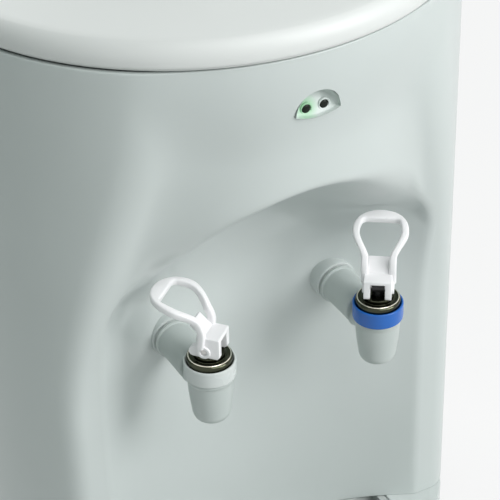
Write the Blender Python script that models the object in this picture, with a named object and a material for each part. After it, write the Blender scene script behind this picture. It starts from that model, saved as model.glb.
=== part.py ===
"""Countertop water dispenser with two lever faucets, modelled in Blender.

Metres, +Z up. The origin lies on the counter, under the axis of the round body.
The front, with the faucets, faces -Y.
"""
import math

import bmesh
import bpy
from mathutils import Matrix, Vector

MM = 0.001
TAU = 2.0 * math.pi

# ---------------------------------------------------------------- driving sizes
GAP = 0.3 * MM                      # clearance between two pieces that seat on each other
RUN = 0.6 * MM                      # clearance round a piece that moves

BODY_RADIUS = 143.0 * MM            # round body, outside
WALL = 2.6 * MM                     # moulded walls of the body
RIM_Z = 384.0 * MM                  # joint line between body and top cover
BASE_TOP = 30.0 * MM                # joint line between base and body
FOOT_HEIGHT = 6.0 * MM
FOOT_RADIUS = 12.0 * MM
FOOT_PITCH = 96.0 * MM              # distance of each foot from the body axis
BASE_FLOOR = 3.0 * MM

# front panel: hood, side fins and the scooped wall behind the faucets
HOOD_RADIUS = 105.0 * MM            # plan radius of the hood
HOOD_FRONT = 134.5 * MM             # reach of the hood in front of the body axis
HOOD_START = 5.0 * MM               # the hood grows out of the round rim below this depth
HOOD_FULL = 60.0 * MM               # and has its full form here
FIN_TOP_Y = 122.0 * MM              # fin face in front of the body axis, at the rim
FIN_LOW_Y = 84.0 * MM               # fin face at the foot of its sweep
FIN_SWEEP = 220.0 * MM              # depth over which the fin face sweeps back
SCOOP_DEPTH = 26.0 * MM             # how far the wall is scooped behind the fin faces
SCOOP_HALF_WIDTH = 97.0 * MM
SCOOP_SWELL = 9.0 * MM              # the scoop is deeper where the levers' loops swing
SWELL_BAND = (80.0 * MM, 140.0 * MM, 160.0 * MM, 200.0 * MM)  # below the rim: grows, full, full, ends
BROW_DEPTH = 79.0 * MM              # top of the brow arch below the rim
BROW_DROP = 39.0 * MM               # fall of the arch at BROW_SPAN from the middle
BROW_SPAN = 72.0 * MM
UNDERCUT_RATIO = 1.09               # height of the cove under the brow for each unit of its depth
VALLEY_BLEND = 12.0 * MM            # fillet between hood and fin
CORNER_BLEND = 9.0 * MM             # rounding of the fin's outer corner
PANEL_COLUMNS = 32                  # mesh of the front panel: columns, and rows in each band
HOOD_ROWS = 6
COVE_ROWS = 4
WALL_ROWS = 5

# faucets: heights count from the collar's top, and depths go down from it
FAUCET_X = 50.0 * MM
FAUCET_Y = -114.0 * MM
COLLAR_TOP = RIM_Z - 175.5 * MM
COLLAR_HEIGHT = 9.2 * MM
COLLAR_RADIUS = 13.6 * MM
CUP_TOP_RADIUS = 12.4 * MM
CUP_LOW_RADIUS = 10.4 * MM          # cup where its lower edge begins to round
CUP_DEPTH = 36.0 * MM               # collar top to the spout's mouth
MOUTH_RADIUS = 7.2 * MM
MOUTH_EDGE = 1.0 * MM               # width of the lip round the spout's mouth
SEAT_DEPTH = 22.0 * MM              # collar top to the valve seat
SEAT_THICKNESS = 2.0 * MM
SEAT_RADIUS = 4.5 * MM
CHAMBER_RADIUS = 8.8 * MM
NECK_DEPTH = 14.0 * MM              # collar top to the neck's axis
NECK_RADIUS = 10.2 * MM
NECK_FRONT = 15.6 * MM              # the neck ends this far behind the cup's axis
THROAT_DEPTH = 17.8 * MM            # lower, thinner throat from the neck into the cup
THROAT_RADIUS = 7.6 * MM
BORE_DEPTH = 14.0 * MM
BORE_RADIUS = 3.0 * MM
FLANGE_RADIUS = 11.4 * MM           # lip of the neck at the wall
FLANGE_THICKNESS = 1.4 * MM
TAIL_RADIUS = 6.8 * MM              # threaded tail through the panel
TAIL_LENGTH = 20.0 * MM             # tail behind the boss face
BOSS_RADIUS = 12.0 * MM             # round seat moulded in the panel
BOSS_FACE_Y = -71.0 * MM
BOSS_BACK_Y = -58.4 * MM            # flat inner face that the nut draws against
GASKET_RADIUS = 10.6 * MM
GASKET_THICKNESS = 1.0 * MM
NUT_WIDTH = 19.0 * MM
NUT_HEIGHT = 6.0 * MM
BONNET_RADIUS = 12.0 * MM
BONNET_RISE = 3.4 * MM              # bonnet top above the collar top
BONNET_WALL = 1.1 * MM
BONNET_SKIRT = 8.4 * MM             # bonnet skirt below the collar top
DISC_RADIUS = 8.2 * MM
DISC_THICKNESS = 1.5 * MM
STEM_RADIUS = 2.6 * MM
SHOULDER_RADIUS = 6.6 * MM
SHOULDER_THICKNESS = 1.6 * MM
SEAL_RADIUS = 6.2 * MM
SEAL_HEIGHT = 7.8 * MM
PEG_RADIUS = 1.8 * MM               # plunger's peg in the seal
SPRING_RADIUS = 4.6 * MM
WIRE_RADIUS = 0.45 * MM
SPRING_TURNS = 5

# lever: a head on two ears, whose feet are cams, and a loop that bends back over it;
# its places count from the pin
PIN_RADIUS = 1.5 * MM
PIN_HEIGHT = 9.2 * MM               # pin above the collar top
EYE_RADIUS = 3.0 * MM
LEVER_WIDTH = 14.6 * MM
EAR_THICKNESS = 3.4 * MM
EAR_BOSS_RADIUS = 3.6 * MM          # round boss about the pin, on each ear
EAR_BOSS_RISE = 1.1 * MM
HEAD_REACH = 8.3 * MM               # ears in front of the pin and behind it
HEAD_TOP = 8.4 * MM
HEAD_THICKNESS = 2.2 * MM           # plate that joins the ears
EAR_BACK = 4.1 * MM                 # back edge of the ears, above their feet
TONGUE_WIDTH = 11.4 * MM            # thumb plate that rises at 45 degrees between the arms
TONGUE_RISE = 6.6 * MM
TONGUE_THICKNESS = 2.2 * MM
LOOP_BACK = 1.0 * MM                # middle of the arms behind the pin, at the head's top
LOOP_ROOT = 6.0 * MM                # the arms run this far down the ears
LOOP_LENGTH = 38.9 * MM             # along the middle of its bend
LOOP_ROOT_WIDTH = 18.6 * MM
LOOP_WIDTH = 29.6 * MM
LOOP_THICKNESS = 4.0 * MM
LOOP_FLARE = 9.0 * MM               # the arms run parallel as far as this
LOOP_WIDEST = 22.6 * MM             # and the loop is widest here
LOOP_ARM = 3.8 * MM
LOOP_BAR = 7.5 * MM                 # width of the bar at the loop's end
LOOP_CORNER = 3.0 * MM              # corners of the finger hole
LOOP_ROUNDNESS = 2.2                # 2 would make the loop's end an ellipse
LOOP_SLOPES = (97.0, 26.3, 2.1)     # rise above the horizontal, in degrees: root, middle, end
LOOP_STATIONS = 12                  # mesh of the loop: places along each arm, and round its end
LOOP_END_STATIONS = 5
CAM_RATE = 5.2 * MM                 # lift for each radian of press
PRESS_RANGE = math.radians(28.0)
LEFT_SWIVEL = math.radians(42.0)    # as the levers stand
RIGHT_SWIVEL = math.radians(-35.0)

# top cover and bottle seat
COVER_EDGE = 11.0 * MM              # rounded edge of the top cover
COVER_RISE = 30.0 * MM              # cover's crown above the rim
COVER_BORE = 66.0 * MM
REVEAL = 1.5 * MM                   # shadow gap under the cover's edge, high and deep
LIP_FRONT_Y = -108.0 * MM           # the locating lip ends where the front panel draws in
SEAT_RING_RADIUS = 76.0 * MM
SEAT_TOP = RIM_Z + COVER_RISE + 18.0 * MM
SEAT_MOUTH = 60.0 * MM
FUNNEL_RADIUS = 19.0 * MM
FUNNEL_BOTTOM = RIM_Z - 23.0 * MM
PROBE_RADIUS = 8.0 * MM
PROBE_TOP = RIM_Z + 22.0 * MM

# reservoir and cooling train
TANK_Y = 28.0 * MM
TANK_RADIUS = 56.0 * MM
TANK_WALL = 2.0 * MM
TANK_TOP = RIM_Z - 16.0 * MM
TANK_FLOOR = TANK_TOP - 148.0 * MM
LID_THICKNESS = 2.4 * MM
FOAM_THICKNESS = 12.0 * MM
BAFFLE_Z = TANK_FLOOR + 72.0 * MM
BAFFLE_THICKNESS = 2.0 * MM
SPIGOT_RADIUS = 4.0 * MM
SPIGOT_BORE = 2.6 * MM
COOL_SPIGOT_Z = BAFFLE_Z + 12.0 * MM  # above the baffle
COLD_SPIGOT_Z = TANK_FLOOR + 20.0 * MM  # below it
HOSE_RADIUS = 5.2 * MM
COLD_Z = TANK_FLOOR + 50.0 * MM     # height of the cooling train
MODULE_WIDTH = 40.0 * MM
MODULE_THICKNESS = 3.8 * MM
BLOCK_BACK_Y = TANK_Y + TANK_RADIUS + 19.0 * MM
SINK_WIDTH = 88.0 * MM
SINK_BASE = 5.0 * MM
FIN_COUNT = 13
FIN_THICKNESS = 1.4 * MM
FAN_WIDTH = 80.0 * MM
FAN_DEPTH = 20.0 * MM
FAN_BORE = 37.5 * MM
HUB_RADIUS = 15.0 * MM
BLADE_COUNT = 7
REAR_REACH = BODY_RADIUS + 25.5 * MM  # back face of the vent cover
POST_LENGTH = 10.9 * MM             # posts between the vent cover and the fan
POST_PITCH = 71.6 * MM
FAN_BACK_Y = REAR_REACH - WALL - POST_LENGTH - GAP
FAN_FRONT_Y = FAN_BACK_Y - FAN_DEPTH
VENT_WIDTH = 112.0 * MM
VENT_SLOTS = 9

# base, drip tray and electrics
NOSE_REACH = 168.5 * MM
NOSE_HALF_WIDTH = 90.0 * MM
NOSE_CORNER = 22.0 * MM
BAY_HALF_WIDTH = 82.0 * MM
BAY_BACK_Y = -64.0 * MM
DECK_BACK_Y = -50.0 * MM            # solid deck between the tray bay and the hollow of the base
BAY_FLOOR = 10.0 * MM
TRAY_WALL = 2.2 * MM
GRILLE_THICKNESS = 2.6 * MM
GRILLE_CLEARANCE = 2.0 * MM         # the grille's back keeps this far from the wall above it
GRILLE_SLOTS = 12
BOARD_THICKNESS = 1.6 * MM
STANDOFF = 6.0 * MM
BOARD_HALF_WIDTH = 32.0 * MM
BOARD_FRONT_Y = 26.0 * MM
BOARD_BACK_Y = 88.0 * MM
STAND_RADIUS = 62.0 * MM
STAND_THICKNESS = 3.0 * MM
LEG_RADIUS = 5.0 * MM
LEG_PITCH = 57.0 * MM
SERVICE_Z = 70.0 * MM               # height of the power inlet and the switch
SERVICE_HALF_WIDTH = 46.0 * MM      # opening in the rear housing
SERVICE_HALF_HEIGHT = 17.0 * MM
SERVICE_THICKNESS = 2.6 * MM
INLET_X = -22.0 * MM
INLET_WIDTH = 27.0 * MM
INLET_HEIGHT = 20.0 * MM
SOCKET_DEPTH = 17.0 * MM
SWITCH_X = 24.0 * MM
SWITCH_WIDTH = 13.0 * MM
SWITCH_HEIGHT = 19.0 * MM
ROCKER_TILT = math.radians(12.0)
DRAIN_Z = 124.0 * MM
DRAIN_RADIUS = 6.8 * MM
CAP_RADIUS = 10.0 * MM
CAP_LENGTH = 12.5 * MM

# indicator window in the hood
INDICATOR_Z = RIM_Z - 31.0 * MM
INDICATOR_WIDTH = 24.0 * MM
INDICATOR_RECESS = 2.6 * MM
LED_RADIUS = 2.4 * MM
LED_PITCH = 9.6 * MM

ROUND_SEGMENTS = 36                 # facets round a large turned piece
MID_SEGMENTS = 24
SMALL_SEGMENTS = 16
TINY_SEGMENTS = 8

LOOKS = {
    "shell": ((0.80, 0.83, 0.82), 0.34, 0.0),
    "cover": ((0.88, 0.90, 0.90), 0.28, 0.0),
    "faucet": ((0.84, 0.86, 0.85), 0.32, 0.0),
    "lever": ((0.93, 0.91, 0.92), 0.30, 0.0),
    "blue": ((0.05, 0.19, 0.62), 0.28, 0.0),
    "chrome": ((0.75, 0.74, 0.70), 0.12, 1.0),
    "steel": ((0.62, 0.62, 0.61), 0.30, 1.0),
    "aluminium": ((0.70, 0.71, 0.72), 0.40, 1.0),
    "rubber": ((0.06, 0.06, 0.06), 0.80, 0.0),
    "silicone": ((0.78, 0.80, 0.78), 0.60, 0.0),
    "foam": ((0.90, 0.90, 0.88), 0.90, 0.0),
    "black": ((0.03, 0.03, 0.03), 0.45, 0.0),
    "board": ((0.05, 0.24, 0.11), 0.50, 0.0),
    "copper": ((0.72, 0.38, 0.20), 0.35, 1.0),
    "ceramic": ((0.90, 0.90, 0.88), 0.60, 0.0),
    "green_lens": ((0.10, 0.42, 0.16), 0.20, 0.0),
    "tray": ((0.70, 0.73, 0.72), 0.42, 0.0),
}


# ---------------------------------------------------------------- general tools
def clear_scene():
    for obj in list(bpy.data.objects):
        bpy.data.objects.remove(obj, do_unlink=True)


def look_material(name, look):
    colour, roughness, metallic = LOOKS[look]
    material = bpy.data.materials.new(name + "_finish")
    material.use_nodes = True
    shader = material.node_tree.nodes["Principled BSDF"]
    shader.inputs["Base Color"].default_value = (*colour, 1.0)
    shader.inputs["Roughness"].default_value = roughness
    shader.inputs["Metallic"].default_value = metallic
    return material


def as_object(name, bm, location, turn):
    bmesh.ops.remove_doubles(bm, verts=bm.verts[:], dist=0.001 * MM)
    mesh = bpy.data.meshes.new(name)
    bm.to_mesh(mesh)
    bm.free()
    obj = bpy.data.objects.new(name, mesh)
    bpy.context.scene.collection.objects.link(obj)
    obj.location = location
    obj.rotation_euler = (0.0, 0.0, turn)
    return obj


def add_tool(target, operation, bm, number, location=(0, 0, 0), turn=0.0):
    """Join or cut the target with a second shape, by a live Boolean."""
    tool = as_object(f"{target.name}_{operation.lower()}_{number}", bm, location, turn)
    tool.hide_render = True
    tool.display_type = "WIRE"
    modifier = target.modifiers.new(tool.name, "BOOLEAN")
    modifier.operation = operation
    modifier.object = tool
    modifier.solver = "EXACT"


def solid(name, bm, look, location=(0, 0, 0), turn=0.0, wall=None, joins=(), cuts=()):
    """One named piece: its mesh, its finish, an optional wall, then joins and cuts."""
    obj = as_object(name, bm, location, turn)
    obj.data.materials.append(look_material(name, look))
    obj.data.shade_smooth()
    obj.data.set_sharp_from_angle(angle=math.radians(35.0))
    if wall:
        shell = obj.modifiers.new("wall", "SOLIDIFY")
        shell.thickness = wall
        shell.offset = -1.0
        shell.use_even_offset = True
    for number, shape in enumerate(joins):
        add_tool(obj, "UNION", shape, number, location, turn)
    for number, shape in enumerate(cuts):
        add_tool(obj, "DIFFERENCE", shape, number, location, turn)
    return obj


def outward(bm):
    bmesh.ops.remove_doubles(bm, verts=bm.verts[:], dist=0.001 * MM)
    bmesh.ops.recalc_face_normals(bm, faces=bm.faces[:])
    return bm


def turned(profile, steps=ROUND_SEGMENTS, closed=True, sweep=TAU, start=0.0):
    """Turn a profile of (radius, height) points about Z."""
    bm = bmesh.new()
    verts = [bm.verts.new((radius, 0.0, height)) for radius, height in profile]
    edges = [bm.edges.new(pair) for pair in zip(verts, verts[1:])]
    if closed:
        edges.append(bm.edges.new((verts[-1], verts[0])))
    if sweep < TAU:
        bm.faces.new(verts)
    bmesh.ops.rotate(bm, verts=bm.verts[:], cent=(0, 0, 0), matrix=Matrix.Rotation(start, 3, "Z"))
    geometry = verts + edges + bm.faces[:]
    bmesh.ops.spin(bm, geom=geometry, cent=(0, 0, 0), axis=(0, 0, 1), angle=sweep, steps=steps)
    return outward(bm)


def prism(outline, low, high):
    """Extrude a plan outline of (x, y) points between two heights."""
    bm = bmesh.new()
    face = bm.faces.new([bm.verts.new((x, y, low)) for x, y in outline])
    lifted = bmesh.ops.extrude_face_region(bm, geom=[face])["geom"]
    top = [item for item in lifted if isinstance(item, bmesh.types.BMVert)]
    bmesh.ops.translate(bm, verts=top, vec=(0, 0, high - low))
    return outward(bm)


def block(low, high, edge=0.0):
    """Box between two corners, with an optional bevel on its edges."""
    bm = bmesh.new()
    bmesh.ops.create_cube(bm, size=1.0)
    low, high = Vector(low), Vector(high)
    bmesh.ops.scale(bm, verts=bm.verts[:], vec=high - low)
    bmesh.ops.translate(bm, verts=bm.verts[:], vec=(low + high) / 2)
    if edge:
        bmesh.ops.bevel(bm, geom=bm.edges[:], offset=edge, segments=2, profile=0.5, affect="EDGES")
    return outward(bm)


def rod(radius, start, end, steps=SMALL_SEGMENTS, end_radius=None):
    """Straight round bar between two points, tapered when an end radius is given."""
    start, end = Vector(start), Vector(end)
    axis = end - start
    bm = bmesh.new()
    bmesh.ops.create_cone(
        bm, cap_ends=True, segments=steps, radius1=radius,
        radius2=radius if end_radius is None else end_radius, depth=axis.length,
    )
    turn = Vector((0, 0, 1)).rotation_difference(axis.normalized()).to_matrix().to_4x4()
    bm.transform(Matrix.Translation((start + end) / 2) @ turn)
    return outward(bm)


def merged(*shapes):
    """Separate shapes in one mesh, for use as a cutter."""
    bm = bmesh.new()
    for shape in shapes:
        mesh = bpy.data.meshes.new("shape")
        shape.to_mesh(mesh)
        shape.free()
        bm.from_mesh(mesh)
        bpy.data.meshes.remove(mesh)
    return bm


def placed(bm, matrix):
    bm.transform(matrix)
    return outward(bm)


def along_y(bm, place=(0, 0, 0)):
    """Lay a shape made along +Z down, so that its top points to the back, +Y."""
    return placed(bm, Matrix.Translation(place) @ Matrix.Rotation(math.radians(-90.0), 4, "X"))


def arc(centre, radius, start, end, steps):
    """Points on an arc, angles in degrees, both ends included."""
    points = []
    for step in range(steps + 1):
        angle = math.radians(start + (end - start) * step / steps)
        points.append((centre[0] + radius * math.cos(angle), centre[1] + radius * math.sin(angle)))
    return points


def rounded_plan(x_low, x_high, y_low, y_high, radius, steps=4):
    """Rectangle in plan with rounded corners, anticlockwise."""
    points = arc((x_high - radius, y_low + radius), radius, -90, 0, steps)
    points += arc((x_high - radius, y_high - radius), radius, 0, 90, steps)
    points += arc((x_low + radius, y_high - radius), radius, 90, 180, steps)
    points += arc((x_low + radius, y_low + radius), radius, 180, 270, steps)
    return points


def hose(name, route, radius, look):
    """Flexible hose along a smooth curve through its route."""
    curve = bpy.data.curves.new(name, "CURVE")
    curve.dimensions = "3D"
    curve.bevel_depth = radius
    curve.bevel_resolution = 1
    curve.use_fill_caps = True
    curve.resolution_u = 4
    spline = curve.splines.new("BEZIER")
    spline.bezier_points.add(len(route) - 1)
    for point, place in zip(spline.bezier_points, route):
        point.co = place
        point.handle_left_type = "AUTO"
        point.handle_right_type = "AUTO"
    obj = bpy.data.objects.new(name, curve)
    bpy.context.scene.collection.objects.link(obj)
    curve.materials.append(look_material(name, look))
    return obj


# ---------------------------------------------------------------- front panel surface
def smooth_step(value, low, high):
    share = min(1.0, max(0.0, (value - low) / (high - low)))
    return share * share * (3.0 - 2.0 * share)


def blend_min(first, second, width):
    """Smaller of two values, with a fillet where they meet."""
    overlap = max(width - abs(first - second), 0.0) / width
    return min(first, second) - overlap * overlap * width / 4.0


def blend_max(first, second, width):
    return -blend_min(-first, -second, width)


def round_body_y(x):
    return -math.sqrt(max(BODY_RADIUS**2 - x**2, 0.0))


def hood_y(x, depth):
    """Hood: a tighter arc than the body, growing out of the round rim."""
    centre = HOOD_RADIUS - HOOD_FRONT
    tight = centre - math.sqrt(max(HOOD_RADIUS**2 - x**2, 0.0))
    share = smooth_step(depth, HOOD_START, HOOD_FULL)
    return round_body_y(x) + (tight - round_body_y(x)) * share


def fin_y(depth):
    """Fin faces: one swept face that leans back on its way down."""
    return -FIN_TOP_Y + (FIN_TOP_Y - FIN_LOW_Y) * smooth_step(depth, 0.0, FIN_SWEEP)


def scoop_y(x, depth):
    """Wall behind the faucets, scooped between the fins."""
    start, full, fade, end = SWELL_BAND
    swell = SCOOP_SWELL * smooth_step(depth, start, full) * (1.0 - smooth_step(depth, fade, end))
    return fin_y(depth) + (SCOOP_DEPTH + swell) * max(0.0, 1.0 - (x / SCOOP_HALF_WIDTH) ** 2)


def upper_y(x, depth):
    """Hood and fins, with a soft valley between them."""
    return blend_min(hood_y(x, depth), fin_y(depth), VALLEY_BLEND)


def brow_depth(x):
    """Depth of the hood's lower edge: an arch that drops towards the sides."""
    return BROW_DEPTH + BROW_DROP * (x / BROW_SPAN) ** 2


def cove_height(x):
    """Height of the undercut below the brow, in proportion to how deep it cuts."""
    brow = brow_depth(x)
    return max(UNDERCUT_RATIO * (scoop_y(x, brow) - upper_y(x, brow)), VALLEY_BLEND)


def panel_y(x, z):
    """Front surface of the dispenser at a place and height."""
    depth = RIM_Z - z
    upper = upper_y(x, depth)
    share = min(1.0, max(0.0, (depth - brow_depth(x)) / cove_height(x)))
    front = upper + (scoop_y(x, depth) - upper) * (1.0 - (1.0 - share) ** 2)
    return blend_max(round_body_y(x), front, CORNER_BLEND)


# ---------------------------------------------------------------- housing
def nose_y(x):
    """Front edge of the base and of the drip tray, in plan."""
    flat = NOSE_HALF_WIDTH - NOSE_CORNER
    if abs(x) <= flat:
        return -NOSE_REACH
    return -NOSE_REACH + NOSE_CORNER - math.sqrt(max(NOSE_CORNER**2 - (abs(x) - flat) ** 2, 0.0))


def base_outline():
    """Round body with the squared nose that carries the drip tray."""
    meet = math.degrees(math.asin(NOSE_HALF_WIDTH / BODY_RADIUS))
    corner_x = NOSE_HALF_WIDTH - NOSE_CORNER
    corner_y = -NOSE_REACH + NOSE_CORNER
    points = arc((0, 0), BODY_RADIUS, -90 + meet, 270 - meet, ROUND_SEGMENTS)
    points += arc((-corner_x, corner_y), NOSE_CORNER, 180, 270, 5)
    points += arc((corner_x, corner_y), NOSE_CORNER, 270, 360, 5)
    return points


def build_base():
    floor_top = FOOT_HEIGHT + BASE_FLOOR
    inside = BODY_RADIUS - WALL
    front = math.degrees(math.asin(-DECK_BACK_Y / inside))
    hollow = prism(arc((0, 0), inside, -front, 180 + front, 32), floor_top, BASE_TOP + WALL)
    bay = block((-BAY_HALF_WIDTH, -2 * NOSE_REACH, BAY_FLOOR), (BAY_HALF_WIDTH, BAY_BACK_Y, 2 * BASE_TOP))
    base = solid(
        "base_pan", prism(base_outline(), FOOT_HEIGHT + GAP, BASE_TOP), "shell", cuts=[hollow, bay],
    )
    inset = 6 * MM
    corners = [
        (x, y)
        for x in (inset - BOARD_HALF_WIDTH, BOARD_HALF_WIDTH - inset)
        for y in (BOARD_FRONT_Y + inset, BOARD_BACK_Y - inset)
    ]
    standoffs = merged(*[
        rod(3 * MM, (x, y, floor_top - MM), (x, y, floor_top + STANDOFF), TINY_SEGMENTS) for x, y in corners
    ])
    add_tool(base, "UNION", standoffs, 0)
    foot = [(0, 0), (FOOT_RADIUS - MM, 0), (FOOT_RADIUS, MM), (FOOT_RADIUS, FOOT_HEIGHT), (0, FOOT_HEIGHT)]
    for name, angle in (("front_left", 225), ("front_right", 315), ("rear_left", 135), ("rear_right", 45)):
        turn = math.radians(angle)
        place = (FOOT_PITCH * math.cos(turn), FOOT_PITCH * math.sin(turn), 0)
        solid("foot_" + name, turned(foot, SMALL_SEGMENTS, closed=False), "rubber", place)


def indicator_outline(margin=0.0):
    """Half-moon window, arched at its top, with a slightly bowed foot."""
    half = INDICATOR_WIDTH / 2 + margin
    points = arc((0, -3 * MM), half, 0, 180, 12)
    sag = 2.2 * MM
    for step in range(1, 6):
        share = step / 6
        x = -half + 2 * half * share
        points.append((x, -3 * MM - margin - sag * 4 * share * (1 - share)))
    return points


def facing_front(bm, place):
    """Stand a plan outline up, with its top towards +Z and its extrusion towards -Y."""
    return placed(bm, Matrix.Translation(place) @ Matrix.Rotation(math.radians(90.0), 4, "X"))


def panel_rows(x, low, high):
    """Heights of the mesh rows at one place: they follow the brow and the cove's foot."""
    brow = min(RIM_Z - brow_depth(x), high - 2 * VALLEY_BLEND)
    foot = brow - cove_height(x)
    bands = ((high, brow, HOOD_ROWS), (brow, foot, COVE_ROWS), (foot, low, WALL_ROWS))
    rows = [low]
    for top, bottom, count in reversed(bands):
        rows += [bottom + (top - bottom) * step / count for step in range(1, count + 1)]
    return rows


def panel_grid(low, high):
    """Quads over the front surface, between the side seams."""
    edge = math.radians(90.0) - GAP / BODY_RADIUS
    bm = bmesh.new()
    lines = []
    for column in range(PANEL_COLUMNS + 1):
        x = BODY_RADIUS * math.sin(-edge + 2 * edge * column / PANEL_COLUMNS)
        lines.append([bm.verts.new((x, panel_y(x, z), z)) for z in panel_rows(x, low, high)])
    for left, right in zip(lines, lines[1:]):
        for row in range(len(left) - 1):
            bm.faces.new((left[row], right[row], right[row + 1], left[row + 1]))
    return bm


def indicator_face_y():
    """The indicator lies in a shallow recess of the hood."""
    return hood_y(0.0, RIM_Z - INDICATOR_Z) + INDICATOR_RECESS


def build_front_panel():
    neck_z = COLLAR_TOP - NECK_DEPTH
    sides = (-FAUCET_X, FAUCET_X)
    bosses = merged(*[rod(BOSS_RADIUS, (x, BOSS_FACE_Y, neck_z), (x, BOSS_BACK_Y, neck_z)) for x in sides])
    holes = merged(*[
        rod(TAIL_RADIUS + GAP, (x, BOSS_FACE_Y - WALL, neck_z), (x, BOSS_BACK_Y + WALL, neck_z))
        for x in sides
    ])
    reach = 12 * MM
    place = (0, indicator_face_y(), INDICATOR_Z)
    window = facing_front(prism(indicator_outline(GAP), -reach, reach), place)
    grid = panel_grid(BASE_TOP + GAP, RIM_Z - GAP)
    solid("front_panel", grid, "shell", wall=WALL, joins=[bosses], cuts=[merged(holes, window)])


def build_indicator():
    depth = 4.9 * MM
    flange = 2.4 * MM
    place = (0, indicator_face_y(), INDICATOR_Z)
    face = facing_front(prism(indicator_outline(), -depth + 2 * MM - GAP, 0), place)
    rim = facing_front(prism(indicator_outline(flange), -depth, -depth + 2 * MM), place)
    side = LED_PITCH / 2
    reach = depth + MM
    holes = merged(*[
        rod(
            LED_RADIUS + GAP, (x, place[1] - MM, INDICATOR_Z), (x, place[1] + reach, INDICATOR_Z),
            TINY_SEGMENTS,
        )
        for x in (-side, side)
    ])
    solid("indicator_bezel", face, "cover", joins=[rim], cuts=[holes])
    dome = [(0, reach), (LED_RADIUS, reach), (LED_RADIUS, LED_RADIUS)]
    dome += [(LED_RADIUS * math.cos(a), LED_RADIUS - LED_RADIUS * math.sin(a)) for a in (0.5, 1.05)]
    dome += [(0, 0)]
    for name, x, look in (("led_cool", -side, "green_lens"), ("led_cold", side, "black")):
        led = along_y(turned(dome, TINY_SEGMENTS, closed=False))
        solid(name, led, look, (x, place[1], place[2]))


def build_rear_housing():
    seam = math.degrees(GAP / BODY_RADIUS)
    outline = arc((0, 0), BODY_RADIUS, seam, 180 - seam, 36)
    outline += arc((0, 0), BODY_RADIUS - WALL, 180 - seam, seam, 36)
    inside = BODY_RADIUS / 2
    reach = BODY_RADIUS + WALL
    sink = SINK_WIDTH / 2 + 2 * MM
    openings = merged(
        block((-sink, inside, COLD_Z - sink), (sink, reach, COLD_Z + sink)),
        block(
            (-SERVICE_HALF_WIDTH, inside, SERVICE_Z - SERVICE_HALF_HEIGHT),
            (SERVICE_HALF_WIDTH, reach, SERVICE_Z + SERVICE_HALF_HEIGHT),
        ),
        rod(DRAIN_RADIUS + GAP, (0, inside, DRAIN_Z), (0, reach, DRAIN_Z)),
    )
    solid("rear_housing", prism(outline, BASE_TOP + GAP, RIM_Z - GAP), "shell", cuts=[openings])


def build_top_cover():
    low = RIM_Z
    shoulder = (BODY_RADIUS - COVER_EDGE, low + 4 * MM)
    outer = [(BODY_RADIUS - REVEAL, low), (BODY_RADIUS - REVEAL, low + REVEAL), (BODY_RADIUS, low + REVEAL)]
    outer += arc(shoulder, COVER_EDGE, 0, 68, 5)
    outer += [(112 * MM, low + 0.63 * COVER_RISE), (92 * MM, low + 0.85 * COVER_RISE)]
    outer += [(COVER_BORE + 6 * MM, low + COVER_RISE - MM), (COVER_BORE, low + COVER_RISE)]
    lip = BODY_RADIUS - WALL - GAP
    inner = [(COVER_BORE, low + COVER_RISE - WALL), (92 * MM, low + 0.85 * COVER_RISE - WALL)]
    inner += [(112 * MM, low + 0.63 * COVER_RISE - WALL)]
    inner += [(BODY_RADIUS - COVER_EDGE - 2 * MM, low + 11 * MM), (lip - WALL, low + 4 * MM)]
    inner += [(lip - WALL, low - 2 * WALL), (lip, low - 2 * WALL), (lip, low)]
    notch = block((-BODY_RADIUS, -2 * BODY_RADIUS, low - 3 * WALL), (BODY_RADIUS, LIP_FRONT_Y, low))
    solid("top_cover", turned(outer + inner, ROUND_SEGMENTS), "cover", cuts=[notch])


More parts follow.
